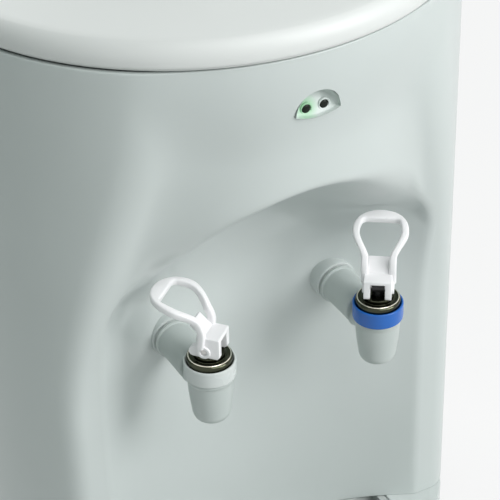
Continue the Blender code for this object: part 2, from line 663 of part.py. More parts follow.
def build_bottle_seat():
    low = RIM_Z + COVER_RISE + GAP
    outside = FUNNEL_RADIUS + 2.4 * MM
    throat = FUNNEL_BOTTOM + 23 * MM
    bore = COVER_BORE - 2 * GAP
    ring = [
        (SEAT_RING_RADIUS, low), (SEAT_RING_RADIUS - MM, SEAT_TOP - 4 * MM),
        (SEAT_RING_RADIUS - 4 * MM, SEAT_TOP),
        (SEAT_MOUTH + 2 * MM, SEAT_TOP), (SEAT_MOUTH, SEAT_TOP - 2 * MM),
        (SEAT_MOUTH - 2 * MM, SEAT_TOP - 12 * MM),
        (FUNNEL_RADIUS + 11 * MM, throat + 12 * MM), (FUNNEL_RADIUS, throat),
        (FUNNEL_RADIUS, FUNNEL_BOTTOM),
        (outside, FUNNEL_BOTTOM), (outside, throat - 2 * MM), (FUNNEL_RADIUS + 12 * MM, throat + 8 * MM),
        (SEAT_MOUTH, SEAT_TOP - 16 * MM), (SEAT_MOUTH, low - 7 * MM), (bore, low - 7 * MM), (bore, low),
    ]
    solid("bottle_collar", turned(ring, ROUND_SEGMENTS), "cover")
    plate = FUNNEL_BOTTOM + 3 * MM
    probe = [
        (0, plate), (FUNNEL_RADIUS - GAP, plate), (FUNNEL_RADIUS - GAP, plate + 2.4 * MM),
        (PROBE_RADIUS, plate + 2.4 * MM), (PROBE_RADIUS, PROBE_TOP - 6 * MM),
        (PROBE_RADIUS / 2, PROBE_TOP), (0, PROBE_TOP),
    ]
    bore = rod(PROBE_RADIUS - 2.4 * MM, (0, 0, plate - MM), (0, 0, PROBE_TOP - 9 * MM), SMALL_SEGMENTS)
    window_low, window_high = plate + 8 * MM, PROBE_TOP - 11 * MM
    reach, half = 2 * PROBE_RADIUS, 2.0 * MM
    windows = [
        block((-reach, -half, window_low), (reach, half, window_high)),
        block((-half, -reach, window_low), (half, reach, window_high)),
    ]
    pitch = (PROBE_RADIUS + FUNNEL_RADIUS) / 2
    drains = merged(*[
        rod(3 * MM, (pitch * math.cos(a), pitch * math.sin(a), plate - MM),
            (pitch * math.cos(a), pitch * math.sin(a), plate + 4 * MM), TINY_SEGMENTS)
        for a in [TAU * step / 4 + TAU / 8 for step in range(4)]
    ])
    solid(
        "bottle_probe", turned(probe, SMALL_SEGMENTS, closed=False), "faucet",
        cuts=[merged(bore, drains), *windows],
    )


# ---------------------------------------------------------------- reservoir and cooling
def spigot_direction(side):
    """Horizontal direction from the tank's axis towards a faucet's tail."""
    tail = BOSS_FACE_Y + TAIL_LENGTH
    return Vector((side * FAUCET_X, tail - TANK_Y, 0)).normalized()


def spigot_point(side, z, distance):
    return Vector((0, TANK_Y, z)) + spigot_direction(side) * distance


def build_reservoir():
    outside, inside = TANK_RADIUS, TANK_RADIUS - TANK_WALL
    floor_low = TANK_FLOOR - TANK_WALL
    cup = [
        (0, floor_low), (outside, floor_low), (outside, TANK_TOP), (inside, TANK_TOP), (inside, TANK_FLOOR),
        (0, TANK_FLOOR),
    ]
    reach = TANK_RADIUS + FOAM_THICKNESS + 7 * MM
    stand_low = floor_low - 2 * GAP - FOAM_THICKNESS - STAND_THICKNESS
    sides = ((-1, COOL_SPIGOT_Z), (1, COLD_SPIGOT_Z))
    centre = Vector((0, TANK_Y, 0))
    spigots = [
        rod(
            SPIGOT_RADIUS, spigot_point(side, z, inside + MM) - centre,
            spigot_point(side, z, reach) - centre, TINY_SEGMENTS,
        )
        for side, z in sides
    ]
    bores = [
        rod(
            SPIGOT_BORE, spigot_point(side, z, inside - MM) - centre,
            spigot_point(side, z, reach + MM) - centre, TINY_SEGMENTS,
        )
        for side, z in sides
    ]
    spigots.append(rod(SPIGOT_RADIUS, (0, 0, floor_low + MM), (0, 0, stand_low - 3 * MM), TINY_SEGMENTS))
    bores.append(rod(SPIGOT_BORE, (0, 0, TANK_FLOOR + MM), (0, 0, stand_low - 4 * MM), TINY_SEGMENTS))
    tank = turned(cup, MID_SEGMENTS, closed=False)
    solid("reservoir", tank, "steel", centre, joins=[merged(*spigots)], cuts=[merged(*bores)])

    low = TANK_TOP + GAP
    lid = [
        (0, low), (inside - GAP - MM, low), (inside - GAP - MM, low - 4 * MM), (inside - GAP, low - 4 * MM),
        (inside - GAP, low), (outside, low), (outside, low + LID_THICKNESS), (0, low + LID_THICKNESS),
    ]
    funnel = FUNNEL_RADIUS + 2.4 * MM + GAP
    hole = rod(funnel, (0, -TANK_Y, low - 9 * MM), (0, -TANK_Y, low + 9 * MM), MID_SEGMENTS)
    solid("reservoir_lid", turned(lid, MID_SEGMENTS, closed=False), "faucet", centre, cuts=[hole])
    top = low + LID_THICKNESS + GAP
    gasket = [
        (funnel, top), (funnel + 5 * MM, top), (funnel + 5 * MM, top + 2 * MM), (funnel, top + 3 * MM),
    ]
    solid("reservoir_gasket", turned(gasket, MID_SEGMENTS), "silicone")

    tube = 7 * MM
    baffle = [
        (tube - TANK_WALL, TANK_FLOOR + GAP), (tube, TANK_FLOOR + GAP), (tube, BAFFLE_Z),
        (inside - RUN, BAFFLE_Z),
        (inside - RUN, BAFFLE_Z + BAFFLE_THICKNESS), (tube - TANK_WALL, BAFFLE_Z + BAFFLE_THICKNESS),
    ]
    notch = block((-inside, -1.5 * MM, TANK_FLOOR), (inside, 1.5 * MM, TANK_FLOOR + 8 * MM))
    solid("baffle", turned(baffle, SMALL_SEGMENTS), "faucet", centre, cuts=[notch])


def build_insulation():
    inner = TANK_RADIUS + GAP
    outer = inner + FOAM_THICKNESS
    cup_floor = TANK_FLOOR - TANK_WALL - GAP
    low = cup_floor - FOAM_THICKNESS
    half_shell = [
        (0, low), (outer, low), (outer, TANK_TOP - MM), (inner, TANK_TOP - MM), (inner, cup_floor),
        (0, cup_floor),
    ]
    block_half = MODULE_WIDTH / 2 + GAP
    for name, side, start, z in (("left", -1, 90, COOL_SPIGOT_Z), ("right", 1, -90, COLD_SPIGOT_Z)):
        centre = Vector((side * GAP / 2, TANK_Y, 0))
        shell = turned(half_shell, 20, sweep=math.pi, start=math.radians(start))
        outlet = rod(
            SPIGOT_RADIUS + GAP, spigot_point(side, z, TANK_RADIUS / 2) - centre,
            spigot_point(side, z, 2 * TANK_RADIUS) - centre, TINY_SEGMENTS,
        )
        passage = block(
            (-block_half, TANK_RADIUS / 2, COLD_Z - block_half),
            (block_half, outer + WALL, COLD_Z + block_half),
        )
        drain = rod(SPIGOT_RADIUS + 2 * GAP, (0, 0, low - MM), (0, 0, cup_floor + MM), TINY_SEGMENTS)
        solid("insulation_" + name, shell, "foam", centre, cuts=[outlet, passage, drain])

    top = low - GAP
    stand = [
        (12 * MM, top - STAND_THICKNESS), (STAND_RADIUS, top - STAND_THICKNESS), (STAND_RADIUS, top),
        (12 * MM, top),
    ]
    floor_top = FOOT_HEIGHT + BASE_FLOOR + GAP
    legs = []
    for quarter in range(4):
        angle = math.radians(45 + 90 * quarter)
        x, y = LEG_PITCH * math.cos(angle), LEG_PITCH * math.sin(angle)
        legs.append(rod(LEG_RADIUS, (x, y, floor_top), (x, y, top - MM), TINY_SEGMENTS))
    solid("tank_stand", turned(stand, SMALL_SEGMENTS), "faucet", (0, TANK_Y, 0), joins=[merged(*legs)])


def build_cooling():
    half = MODULE_WIDTH / 2
    body = block((-half, TANK_Y + TANK_RADIUS / 2, COLD_Z - half), (half, BLOCK_BACK_Y, COLD_Z + half))
    tank = rod(
        TANK_RADIUS + GAP, (0, TANK_Y, COLD_Z - 2 * half), (0, TANK_Y, COLD_Z + 2 * half), MID_SEGMENTS,
    )
    solid("cold_block", body, "aluminium", cuts=[tank])
    module_y = BLOCK_BACK_Y + GAP
    hot_y = module_y + MODULE_THICKNESS
    solid(
        "thermoelectric_module", block((-half, module_y, COLD_Z - half), (half, hot_y, COLD_Z + half)),
        "ceramic",
    )

    wide = SINK_WIDTH / 2
    plate_y = hot_y + GAP
    tip_y = FAN_FRONT_Y - GAP
    comb = [(-wide, plate_y), (wide, plate_y)]
    pitch = (SINK_WIDTH - FIN_THICKNESS) / (FIN_COUNT - 1)
    for fin in range(FIN_COUNT):
        right = wide - fin * pitch
        left = right - FIN_THICKNESS
        comb += [(right, tip_y), (left, tip_y)]
        if fin < FIN_COUNT - 1:
            comb += [(left, plate_y + SINK_BASE), (right - pitch, plate_y + SINK_BASE)]
    solid("heat_sink", prism(comb, COLD_Z - wide, COLD_Z + wide), "aluminium")


def build_fan():
    """Fan frame with its struts, and the bladed rotor that spins in it."""
    front_y, back_y = FAN_FRONT_Y, FAN_BACK_Y
    plan = rounded_plan(-FAN_WIDTH / 2, FAN_WIDTH / 2, -FAN_WIDTH / 2, FAN_WIDTH / 2, 5 * MM, 3)
    frame = along_y(prism(plan, 0, FAN_DEPTH), (0, front_y, COLD_Z))
    bore = rod(FAN_BORE, (0, front_y - MM, COLD_Z), (0, back_y + MM, COLD_Z), MID_SEGMENTS)
    strut = 2.5 * MM
    strut_y = back_y - 3 * MM
    arms = [
        block((-FAN_BORE - MM, strut_y, COLD_Z - strut), (FAN_BORE + MM, back_y, COLD_Z + strut)),
        block((-strut, strut_y, COLD_Z - FAN_BORE - MM), (strut, back_y, COLD_Z + FAN_BORE + MM)),
        rod(HUB_RADIUS, (0, strut_y, COLD_Z), (0, back_y, COLD_Z)),
        rod(2 * MM, (0, front_y + 9 * MM, COLD_Z), (0, back_y - MM, COLD_Z), TINY_SEGMENTS),
    ]
    fan_frame = solid("fan_frame", frame, "black", cuts=[bore])
    for number, arm in enumerate(arms):
        add_tool(fan_frame, "UNION", arm, number)

    depth = strut_y - RUN - (front_y + 3 * MM)
    hub = [(0, 0), (HUB_RADIUS - 2 * MM, 0), (HUB_RADIUS, 2 * MM), (HUB_RADIUS, depth), (
        2 * MM + RUN, depth,
    ),
           (2 * MM + RUN, depth / 3), (0, depth / 3)]
    blades = []
    for number in range(BLADE_COUNT):
        span = block((HUB_RADIUS - MM, -0.7 * MM, -6.5 * MM), (FAN_BORE - 1.5 * MM, 0.7 * MM, 6.5 * MM))
        pitch = Matrix.Rotation(math.radians(42.0), 4, "X")
        turn = Matrix.Rotation(TAU * number / BLADE_COUNT, 4, "Z")
        blades.append(placed(span, turn @ Matrix.Translation((0, 0, depth / 2)) @ pitch))
    rotor = along_y(turned(hub, SMALL_SEGMENTS, closed=False))
    joins = [along_y(merged(*blades))]
    solid("fan_impeller", rotor, "black", (0, front_y + 3 * MM, COLD_Z), joins=joins)


def build_vent_cover():
    half = VENT_WIDTH / 2
    inside_y = REAR_REACH - WALL
    start_y = BODY_RADIUS / 2
    plan = rounded_plan(-half, half, -half, half, 12 * MM, 4)
    cavity = rounded_plan(-half + WALL, half - WALL, -half + WALL, half - WALL, 10 * MM, 4)
    shell = along_y(prism(plan, start_y, REAR_REACH), (0, 0, COLD_Z))
    hollow = along_y(prism(cavity, start_y - MM, inside_y), (0, 0, COLD_Z))
    body = rod(BODY_RADIUS + GAP, (0, 0, COLD_Z - VENT_WIDTH), (0, 0, COLD_Z + VENT_WIDTH), 72)
    slot_half = 0.38 * VENT_WIDTH
    pitch = 2 * slot_half / VENT_SLOTS
    slots = merged(*[
        block((-slot_half, inside_y - MM, z - pitch / 4), (slot_half, REAR_REACH + MM, z + pitch / 4))
        for z in [COLD_Z - slot_half + (number + 0.5) * pitch for number in range(VENT_SLOTS)]
    ])
    hole = POST_PITCH / 2
    posts = merged(*[
        rod(3 * MM, (x, FAN_BACK_Y + GAP, COLD_Z + z), (x, inside_y + MM, COLD_Z + z), TINY_SEGMENTS)
        for x in (-hole, hole) for z in (-hole, hole)
    ])
    cover = solid("rear_vent_cover", shell, "shell", cuts=[body, hollow, slots])
    add_tool(cover, "UNION", posts, 0)


# ---------------------------------------------------------------- electrics and drain
def build_service_panel():
    half = SERVICE_HALF_WIDTH + 4 * MM
    tall = SERVICE_HALF_HEIGHT + 4 * MM
    inside = BODY_RADIUS - WALL - GAP
    face_y = math.sqrt(inside**2 - half**2)
    plate = block((-half, face_y - SERVICE_THICKNESS, SERVICE_Z - tall), (half, face_y, SERVICE_Z + tall))
    openings = merged(*[
        block(
            (x - w / 2 - GAP, face_y - 9 * MM, SERVICE_Z - h / 2 - GAP),
            (x + w / 2 + GAP, face_y + 9 * MM, SERVICE_Z + h / 2 + GAP),
        )
        for x, w, h in ((INLET_X, INLET_WIDTH, INLET_HEIGHT), (SWITCH_X, SWITCH_WIDTH, SWITCH_HEIGHT))
    ])
    solid("service_panel", plate, "black", cuts=[openings])

    flange = 2 * MM
    front = face_y + GAP
    wide, tall = INLET_WIDTH / 2, INLET_HEIGHT / 2
    body = block((-wide, front - SOCKET_DEPTH - 6 * MM, -tall), (wide, front + flange, tall))
    rim = block(
        (-wide - flange, front, -tall - flange), (wide + flange, front + flange, tall + flange), 0.6 * MM,
    )
    socket = block(
        (-wide + 2.6 * MM, front + flange - SOCKET_DEPTH, -tall + 3 * MM),
        (wide - 2.6 * MM, front + 2 * flange, tall - 3 * MM),
    )
    inlet = solid("power_inlet", body, "black", (INLET_X, 0, SERVICE_Z), joins=[rim], cuts=[socket])
    pins = merged(*[
        block(
            (x - 1.9 * MM, front - SOCKET_DEPTH, z - MM),
            (x + 1.9 * MM, front + flange - 5.5 * MM, z + MM),
        )
        for x, z in ((-6.5 * MM, -2 * MM), (0, 2.6 * MM), (6.5 * MM, -2 * MM))
    ])
    add_tool(inlet, "UNION", pins, 0, (INLET_X, 0, SERVICE_Z))

    wide, tall = SWITCH_WIDTH / 2, SWITCH_HEIGHT / 2
    body = block((-wide, front - 16 * MM, -tall), (wide, front + flange, tall))
    rim = block(
        (-wide - flange, front, -tall - flange), (wide + flange, front + flange, tall + flange), 0.6 * MM,
    )
    well_wide, well_tall = wide - 1.2 * MM, tall - 1.2 * MM
    well = block((-well_wide, front - 11 * MM, -well_tall), (well_wide, front + 2 * flange, well_tall))
    solid("switch_frame", body, "black", (SWITCH_X, 0, SERVICE_Z), joins=[rim], cuts=[well])
    reach = well_tall - RUN
    profile = [
        (2.6 * MM, -reach), (4.2 * MM, -reach + MM), (2.4 * MM, 0), (4.2 * MM, reach - MM),
        (2.6 * MM, reach),
    ]
    profile += arc((0, 0), 5.4 * MM, 150, 210, 4)
    rocker = prism(profile, -well_wide + RUN, well_wide - RUN)
    across = Matrix(((0, 0, 1, 0), (1, 0, 0, 0), (0, 1, 0, 0), (0, 0, 0, 1)))
    pivot = solid("switch_rocker", placed(rocker, across), "black", (SWITCH_X, front - 2.5 * MM, SERVICE_Z))
    pivot.rotation_euler = (ROCKER_TILT, 0, 0)


def build_power_board():
    low = FOOT_HEIGHT + BASE_FLOOR + STANDOFF + GAP
    top = low + BOARD_THICKNESS
    plate = block((-BOARD_HALF_WIDTH, BOARD_FRONT_Y, low), (BOARD_HALF_WIDTH, BOARD_BACK_Y, top))
    capacitors = merged(*[
        rod(
            6 * MM, (x, BOARD_BACK_Y - 12 * MM, top - MM / 2), (x, BOARD_BACK_Y - 12 * MM, top + 22 * MM),
            SMALL_SEGMENTS,
        )
        for x in (-22 * MM, -7 * MM)
    ])
    fins = block(
        (10 * MM, BOARD_BACK_Y - 14 * MM, top - MM / 2), (28 * MM, BOARD_BACK_Y - 10 * MM, top + 26 * MM),
    )
    core = block(
        (-17 * MM, BOARD_FRONT_Y + 6 * MM, top - MM / 2),
        (17 * MM, BOARD_FRONT_Y + 34 * MM, top + 28 * MM),
    )
    winding = block(
        (-11 * MM, BOARD_FRONT_Y + 2 * MM, top + 5 * MM),
        (11 * MM, BOARD_FRONT_Y + 38 * MM, top + 23 * MM), 2 * MM,
    )
    solid("power_board", plate, "board", joins=[merged(capacitors, fins), core, winding])


def build_drain():
    inside = BODY_RADIUS - WALL
    shoulder = inside - MM
    fitting = [
        (SPIGOT_BORE, shoulder - 12 * MM), (SPIGOT_RADIUS, shoulder - 12 * MM),
        (SPIGOT_RADIUS, shoulder - 3 * MM),
        (11 * MM, shoulder - 3 * MM), (11 * MM, shoulder), (DRAIN_RADIUS, shoulder),
        (DRAIN_RADIUS, BODY_RADIUS + 9 * MM),
        (SPIGOT_BORE, BODY_RADIUS + 9 * MM),
    ]
    solid("drain_fitting", along_y(turned(fitting, SMALL_SEGMENTS)), "faucet", (0, 0, DRAIN_Z))
    low = BODY_RADIUS + MM
    inner = BODY_RADIUS + 9 * MM + RUN
    cap = [
        (0, inner), (DRAIN_RADIUS + RUN, inner), (DRAIN_RADIUS + RUN, low), (CAP_RADIUS, low),
        (CAP_RADIUS, low + CAP_LENGTH - MM), (CAP_RADIUS - MM, low + CAP_LENGTH), (0, low + CAP_LENGTH),
    ]
    drain_cap = turned(cap, SMALL_SEGMENTS, closed=False)
    solid("drain_cap", along_y(drain_cap), "faucet", (0, 0, DRAIN_Z))
    stand_low = TANK_FLOOR - TANK_WALL - 2 * GAP - FOAM_THICKNESS - STAND_THICKNESS
    start = stand_low - 3 * MM - GAP
    end = shoulder - 12 * MM - GAP
    route = [
        (0, TANK_Y, start), (0, TANK_Y, start - 5 * MM), (0, TANK_Y + 22 * MM, start - 32 * MM),
        (0, TANK_Y + 62 * MM, DRAIN_Z + 2 * MM), (0, end - 5 * MM, DRAIN_Z), (0, end, DRAIN_Z),
    ]
    hose("drain_hose", route, HOSE_RADIUS, "silicone")


# ---------------------------------------------------------------- drip tray
def tray_outline(inset):
    """Plan of the drip tray: straight sides and back, and the nose's own front edge."""
    side = BAY_HALF_WIDTH - RUN - inset
    back = BAY_BACK_Y - RUN - inset
    points = [(side, back), (-side, back)]
    for step in range(13):
        x = -side + 2 * side * step / 12
        points.append((x, nose_y(x) + inset))
    return points


def grille_back_y(x):
    """Back edge of the grille: straight, but drawn forward where the wall stands over it."""
    return min(BAY_BACK_Y - RUN, scoop_y(x, FIN_SWEEP) - GRILLE_CLEARANCE)


def grille_outline(inset):
    """Plan of the grille and of its rebate in the tray."""
    side = BAY_HALF_WIDTH - RUN - inset
    columns = [-side + side * step / 6 for step in range(13)]
    front = [(x, nose_y(x) + inset) for x in columns]
    return front + [(x, grille_back_y(x) - inset) for x in reversed(columns)]


def build_drip_tray():
    low, top = BAY_FLOOR + GAP, BASE_TOP - RUN
    ledge = top - GRILLE_THICKNESS - GAP
    cavity = prism(tray_outline(2 * TRAY_WALL), low + TRAY_WALL, top + MM)
    rebate = prism(grille_outline(TRAY_WALL / 2), ledge, top + MM)
    solid("drip_tray", prism(tray_outline(0), low, top), "tray", cuts=[cavity, rebate])
    grille = prism(grille_outline(TRAY_WALL / 2 + GAP), ledge + GAP, top)
    rim = 9 * MM
    side = BAY_HALF_WIDTH - rim
    pitch = 2 * side / GRILLE_SLOTS
    slots = merged(*[
        block(
            (x - pitch / 4, nose_y(x) + rim, ledge - MM),
            (x + pitch / 4, grille_back_y(x) - rim, top + MM),
        )
        for x in [-side + (number + 0.5) * pitch for number in range(GRILLE_SLOTS)]
    ])
    solid("drip_grille", grille, "tray", cuts=[slots])


# ---------------------------------------------------------------- faucets
def build_faucet_body(name, x):
    """Cup with its neck, its threaded tail and the valve seat inside."""
    shoulder = COLLAR_HEIGHT + GAP
    thread = BONNET_RADIUS - BONNET_WALL - GAP
    top = -3 * MM
    cup = [
        (0, top), (thread, top), (thread, -shoulder), (CUP_TOP_RADIUS + 0.3 * MM, -shoulder),
        (CUP_TOP_RADIUS + 0.3 * MM, -shoulder - 1.4 * MM),
        (CUP_TOP_RADIUS - 0.3 * MM, -shoulder - 2.6 * MM),
        (CUP_TOP_RADIUS - MM, -0.6 * CUP_DEPTH), (CUP_LOW_RADIUS, -CUP_DEPTH + 6.5 * MM),
        (CUP_LOW_RADIUS - 0.5 * MM, -CUP_DEPTH + 3 * MM),
        (CUP_LOW_RADIUS - 1.4 * MM, -CUP_DEPTH + 0.8 * MM),
        (MOUTH_RADIUS + MOUTH_EDGE, -CUP_DEPTH), (0, -CUP_DEPTH),
    ]
    seat_low = SEAT_DEPTH + SEAT_THICKNESS
    void = [
        (0, -2 * CUP_DEPTH), (MOUTH_RADIUS, -2 * CUP_DEPTH), (MOUTH_RADIUS, -seat_low - 2 * MM),
        (SEAT_RADIUS, -seat_low), (SEAT_RADIUS, -SEAT_DEPTH), (CHAMBER_RADIUS, -SEAT_DEPTH),
        (CHAMBER_RADIUS, 0), (0, 0),
    ]
    boss_y = BOSS_FACE_Y - FAUCET_Y
    flange_y = boss_y - GASKET_THICKNESS - 2 * GAP
    tail_y = boss_y + TAIL_LENGTH
    neck = [
        (0, NECK_FRONT), (NECK_RADIUS - MM, NECK_FRONT), (NECK_RADIUS, NECK_FRONT + MM),
        (NECK_RADIUS, flange_y - FLANGE_THICKNESS), (FLANGE_RADIUS, flange_y - FLANGE_THICKNESS),
        (FLANGE_RADIUS, flange_y), (TAIL_RADIUS, flange_y), (TAIL_RADIUS, tail_y), (0, tail_y),
    ]
    neck_z = -NECK_DEPTH
    pipe = along_y(turned(neck, SMALL_SEGMENTS, closed=False), (0, 0, neck_z))
    throat = rod(THROAT_RADIUS, (0, CHAMBER_RADIUS, -THROAT_DEPTH), (0, NECK_FRONT + 2 * MM, -THROAT_DEPTH))
    bore = rod(
        BORE_RADIUS, (0, CHAMBER_RADIUS / 2, -BORE_DEPTH), (0, tail_y + MM, -BORE_DEPTH), TINY_SEGMENTS,
    )
    cuts = [turned(void, SMALL_SEGMENTS, closed=False), bore]
    shape = turned(cup, SMALL_SEGMENTS, closed=False)
    place = (x, FAUCET_Y, COLLAR_TOP)
    solid(name + "_faucet_body", shape, "faucet", place, joins=[throat, pipe], cuts=cuts)

    inside = TAIL_RADIUS + GAP
    ring = [(inside, 0), (GASKET_RADIUS, 0), (GASKET_RADIUS, GASKET_THICKNESS), (inside, GASKET_THICKNESS)]
    gasket = along_y(turned(ring, SMALL_SEGMENTS), (0, flange_y + GAP, neck_z))
    solid(name + "_wall_gasket", gasket, "silicone", place)
    corner = NUT_WIDTH / 2 / math.cos(math.radians(30.0))
    hexagon = arc((0, 0), corner, 0, 300, 5)
    nut_y = BOSS_BACK_Y - FAUCET_Y + GAP
    nut = along_y(prism(hexagon, 0, NUT_HEIGHT), (0, nut_y, neck_z))
    hole = rod(TAIL_RADIUS + GAP, (0, nut_y - MM, neck_z), (0, nut_y + NUT_HEIGHT + MM, neck_z))
    solid(name + "_locknut", nut, "faucet", place, cuts=[hole])


def build_faucet_trim(name, x, look):
    place = (x, FAUCET_Y, COLLAR_TOP)
    inside = BONNET_RADIUS + GAP
    collar = [
        (inside, 0), (COLLAR_RADIUS - 0.5 * MM, 0), (COLLAR_RADIUS, -0.6 * MM),
        (COLLAR_RADIUS, -COLLAR_HEIGHT + 0.5 * MM),
        (COLLAR_RADIUS - 0.4 * MM, -COLLAR_HEIGHT), (inside, -COLLAR_HEIGHT),
    ]
    solid(name + "_collar", turned(collar, MID_SEGMENTS), look, place)
    inner = BONNET_RADIUS - BONNET_WALL
    hole = STEM_RADIUS + RUN
    bonnet = [
        (BONNET_RADIUS, -BONNET_SKIRT), (BONNET_RADIUS, BONNET_RISE - 1.8 * MM),
        (BONNET_RADIUS - 0.6 * MM, BONNET_RISE - 0.6 * MM),
        (BONNET_RADIUS - 1.8 * MM, BONNET_RISE), (hole, BONNET_RISE), (hole, BONNET_RISE - BONNET_WALL),
        (inner, BONNET_RISE - BONNET_WALL - 0.6 * MM), (inner, -BONNET_SKIRT),
    ]
    solid(name + "_bonnet", turned(bonnet, MID_SEGMENTS), "chrome", place)


def build_plunger(name, x, turn):
    """Stem with its eye, the silicone seal, the spring and the pin."""
    place = (x, FAUCET_Y, COLLAR_TOP)
    shoulder_top = -(SEAT_DEPTH - GAP - SEAL_HEIGHT - GAP - SHOULDER_THICKNESS)
    shoulder_low = shoulder_top - SHOULDER_THICKNESS
    peg_low = shoulder_low - SEAL_HEIGHT / 2
    stem = [
        (0, peg_low), (PEG_RADIUS, peg_low), (PEG_RADIUS, shoulder_low), (SHOULDER_RADIUS, shoulder_low),
        (SHOULDER_RADIUS, shoulder_top), (STEM_RADIUS, shoulder_top), (STEM_RADIUS, PIN_HEIGHT - MM),
        (0, PIN_HEIGHT - MM),
    ]
    slot_half = LEVER_WIDTH / 2 - EAR_THICKNESS
    eye = rod(
        EYE_RADIUS, (-slot_half + RUN, 0, PIN_HEIGHT), (slot_half - RUN, 0, PIN_HEIGHT), SMALL_SEGMENTS,
    )
    hole = rod(PIN_RADIUS + GAP, (-slot_half, 0, PIN_HEIGHT), (slot_half, 0, PIN_HEIGHT), TINY_SEGMENTS)
    shape = turned(stem, SMALL_SEGMENTS, closed=False)
    solid(name + "_plunger", shape, "faucet", place, turn, joins=[eye], cuts=[hole])

    seal_low = -SEAT_DEPTH + GAP
    seal_top = seal_low + SEAL_HEIGHT
    seal = [
        (0, seal_low), (SEAL_RADIUS - 0.6 * MM, seal_low), (SEAL_RADIUS, seal_low + 0.6 * MM),
        (SEAL_RADIUS, seal_top),
        (PEG_RADIUS + GAP, seal_top), (PEG_RADIUS + GAP, peg_low - GAP), (0, peg_low - GAP),
    ]
    solid(name + "_seal", turned(seal, SMALL_SEGMENTS, closed=False), "silicone", place, turn)

    half = LEVER_WIDTH / 2 + 0.3 * MM
    pin = rod(PIN_RADIUS, (-half, 0, 0), (half, 0, 0), TINY_SEGMENTS)
    solid(name + "_hinge_pin", pin, "steel", (x, FAUCET_Y, COLLAR_TOP + PIN_HEIGHT), turn)

    low = shoulder_top + GAP + WIRE_RADIUS
    high = BONNET_RISE - BONNET_WALL - GAP - WIRE_RADIUS
    curve = bpy.data.curves.new(name + "_spring", "CURVE")
    curve.dimensions = "3D"
    curve.bevel_depth = WIRE_RADIUS
    curve.bevel_resolution = 0
    curve.use_fill_caps = True
    steps = SPRING_TURNS * TINY_SEGMENTS
    spline = curve.splines.new("POLY")
    spline.points.add(steps)
    for step, point in enumerate(spline.points):
        angle = TAU * SPRING_TURNS * step / steps
        z = low + (high - low) * step / steps
        point.co = (SPRING_RADIUS * math.cos(angle), SPRING_RADIUS * math.sin(angle), z, 1.0)
    spring = bpy.data.objects.new(name + "_spring", curve)
    bpy.context.scene.collection.objects.link(spring)
    curve.materials.append(look_material(name + "_spring", "steel"))
    spring.location = place


def cam_foot(rest_height):
    """Underside of the lever: a flat foot, then the cam that keeps touching the disc.

    A point of the cam lies where the disc's face touches the lever after a press angle,
    with the pin raised by CAM_RATE for each radian.
    """
    points = []
    for step in range(6):
        press = PRESS_RANGE * step / 5
        height = rest_height + CAM_RATE * press
        back = height * math.sin(press) + CAM_RATE * math.cos(press)
        down = -height * math.cos(press) + CAM_RATE * math.sin(press)
        points.append((back, down))
    return points


def loop_slope(share):
    """Rise of the loop above the horizontal, at a share of its length."""
    root, middle, end = LOOP_SLOPES
    share = max(share, 0.0)
    early = root * (1 - share) * (1 - 2 * share)
    late = end * share * (2 * share - 1)
    return math.radians(early + 4 * middle * share * (1 - share) + late)


def loop_place(across, along, height=0.0):
    """Point of the bent loop: across it, along its middle line, and above that line."""
    steps = 24
    length = along / steps
    y, z = LOOP_BACK, HEAD_TOP
    for step in range(steps):
        slope = loop_slope((step + 0.5) * length / LOOP_LENGTH)
        y += length * math.cos(slope)
        z += length * math.sin(slope)
    slope = loop_slope(along / LOOP_LENGTH)
    return Vector((across, y - height * math.sin(slope), z + height * math.cos(slope)))


def loop_half_width(along):
    """The arms run parallel at first, then flare to the loop's widest place."""
    root, wide = LOOP_ROOT_WIDTH / 2, LOOP_WIDTH / 2
    if along > LOOP_WIDEST:
        share = (along - LOOP_WIDEST) / (LOOP_LENGTH - LOOP_WIDEST)
        return wide * math.sqrt(max(1 - share**LOOP_ROUNDNESS, 0.0))
    share = min(max((along - LOOP_FLARE) / (LOOP_WIDEST - LOOP_FLARE), 0.0), 1.0)
    return root + (wide - root) * (smooth_step(share, 0, 1) + math.sin(share * TAU / 4)) / 2


def loop_edges():
    """Outer and inner edge of one side, in pairs, from its root to the middle of the bar."""
    far = LOOP_LENGTH - LOOP_BAR
    bend = far - LOOP_CORNER
    pairs = []
    for step in range(LOOP_STATIONS + 1):
        along = -LOOP_ROOT + (bend + LOOP_ROOT) * step / LOOP_STATIONS
        half = loop_half_width(along)
        pairs.append(((half, along), (half - LOOP_ARM, along)))
    corner_x = pairs[-1][1][0] - LOOP_CORNER
    inner = arc((corner_x, bend), LOOP_CORNER, 30, 90, 2) + [(corner_x / 2, far), (0.0, far)]
    crown = LOOP_LENGTH - LOOP_WIDEST
    first = math.asin(((bend - LOOP_WIDEST) / crown) ** (LOOP_ROUNDNESS / 2))
    for number, point in enumerate(inner, 1):
        angle = first + (TAU / 4 - first) * number / LOOP_END_STATIONS
        along = LOOP_WIDEST + crown * math.sin(angle) ** (2 / LOOP_ROUNDNESS)
        pairs.append(((LOOP_WIDTH / 2 * math.cos(angle), along), point))
    return pairs


def loop_ring():
    """The open finger loop: up one arm, over the bar and down the other."""
    half = LOOP_THICKNESS / 2
    right = loop_edges()
    left = [((-outer[0], outer[1]), (-inner[0], inner[1])) for outer, inner in reversed(right[:-1])]
    bm = bmesh.new()
    rings = []
    for outer, inner in right + left:
        corners = [(outer, half), (outer, -half), (inner, -half), (inner, half)]
        rings.append([bm.verts.new(loop_place(*point, height)) for point, height in corners])
    for first, second in zip(rings, rings[1:]):
        for corner in range(4):
            after = (corner + 1) % 4
            bm.faces.new((first[corner], first[after], second[after], second[corner]))
    bm.faces.new(rings[0])
    bm.faces.new(rings[-1])
    return outward(bm)


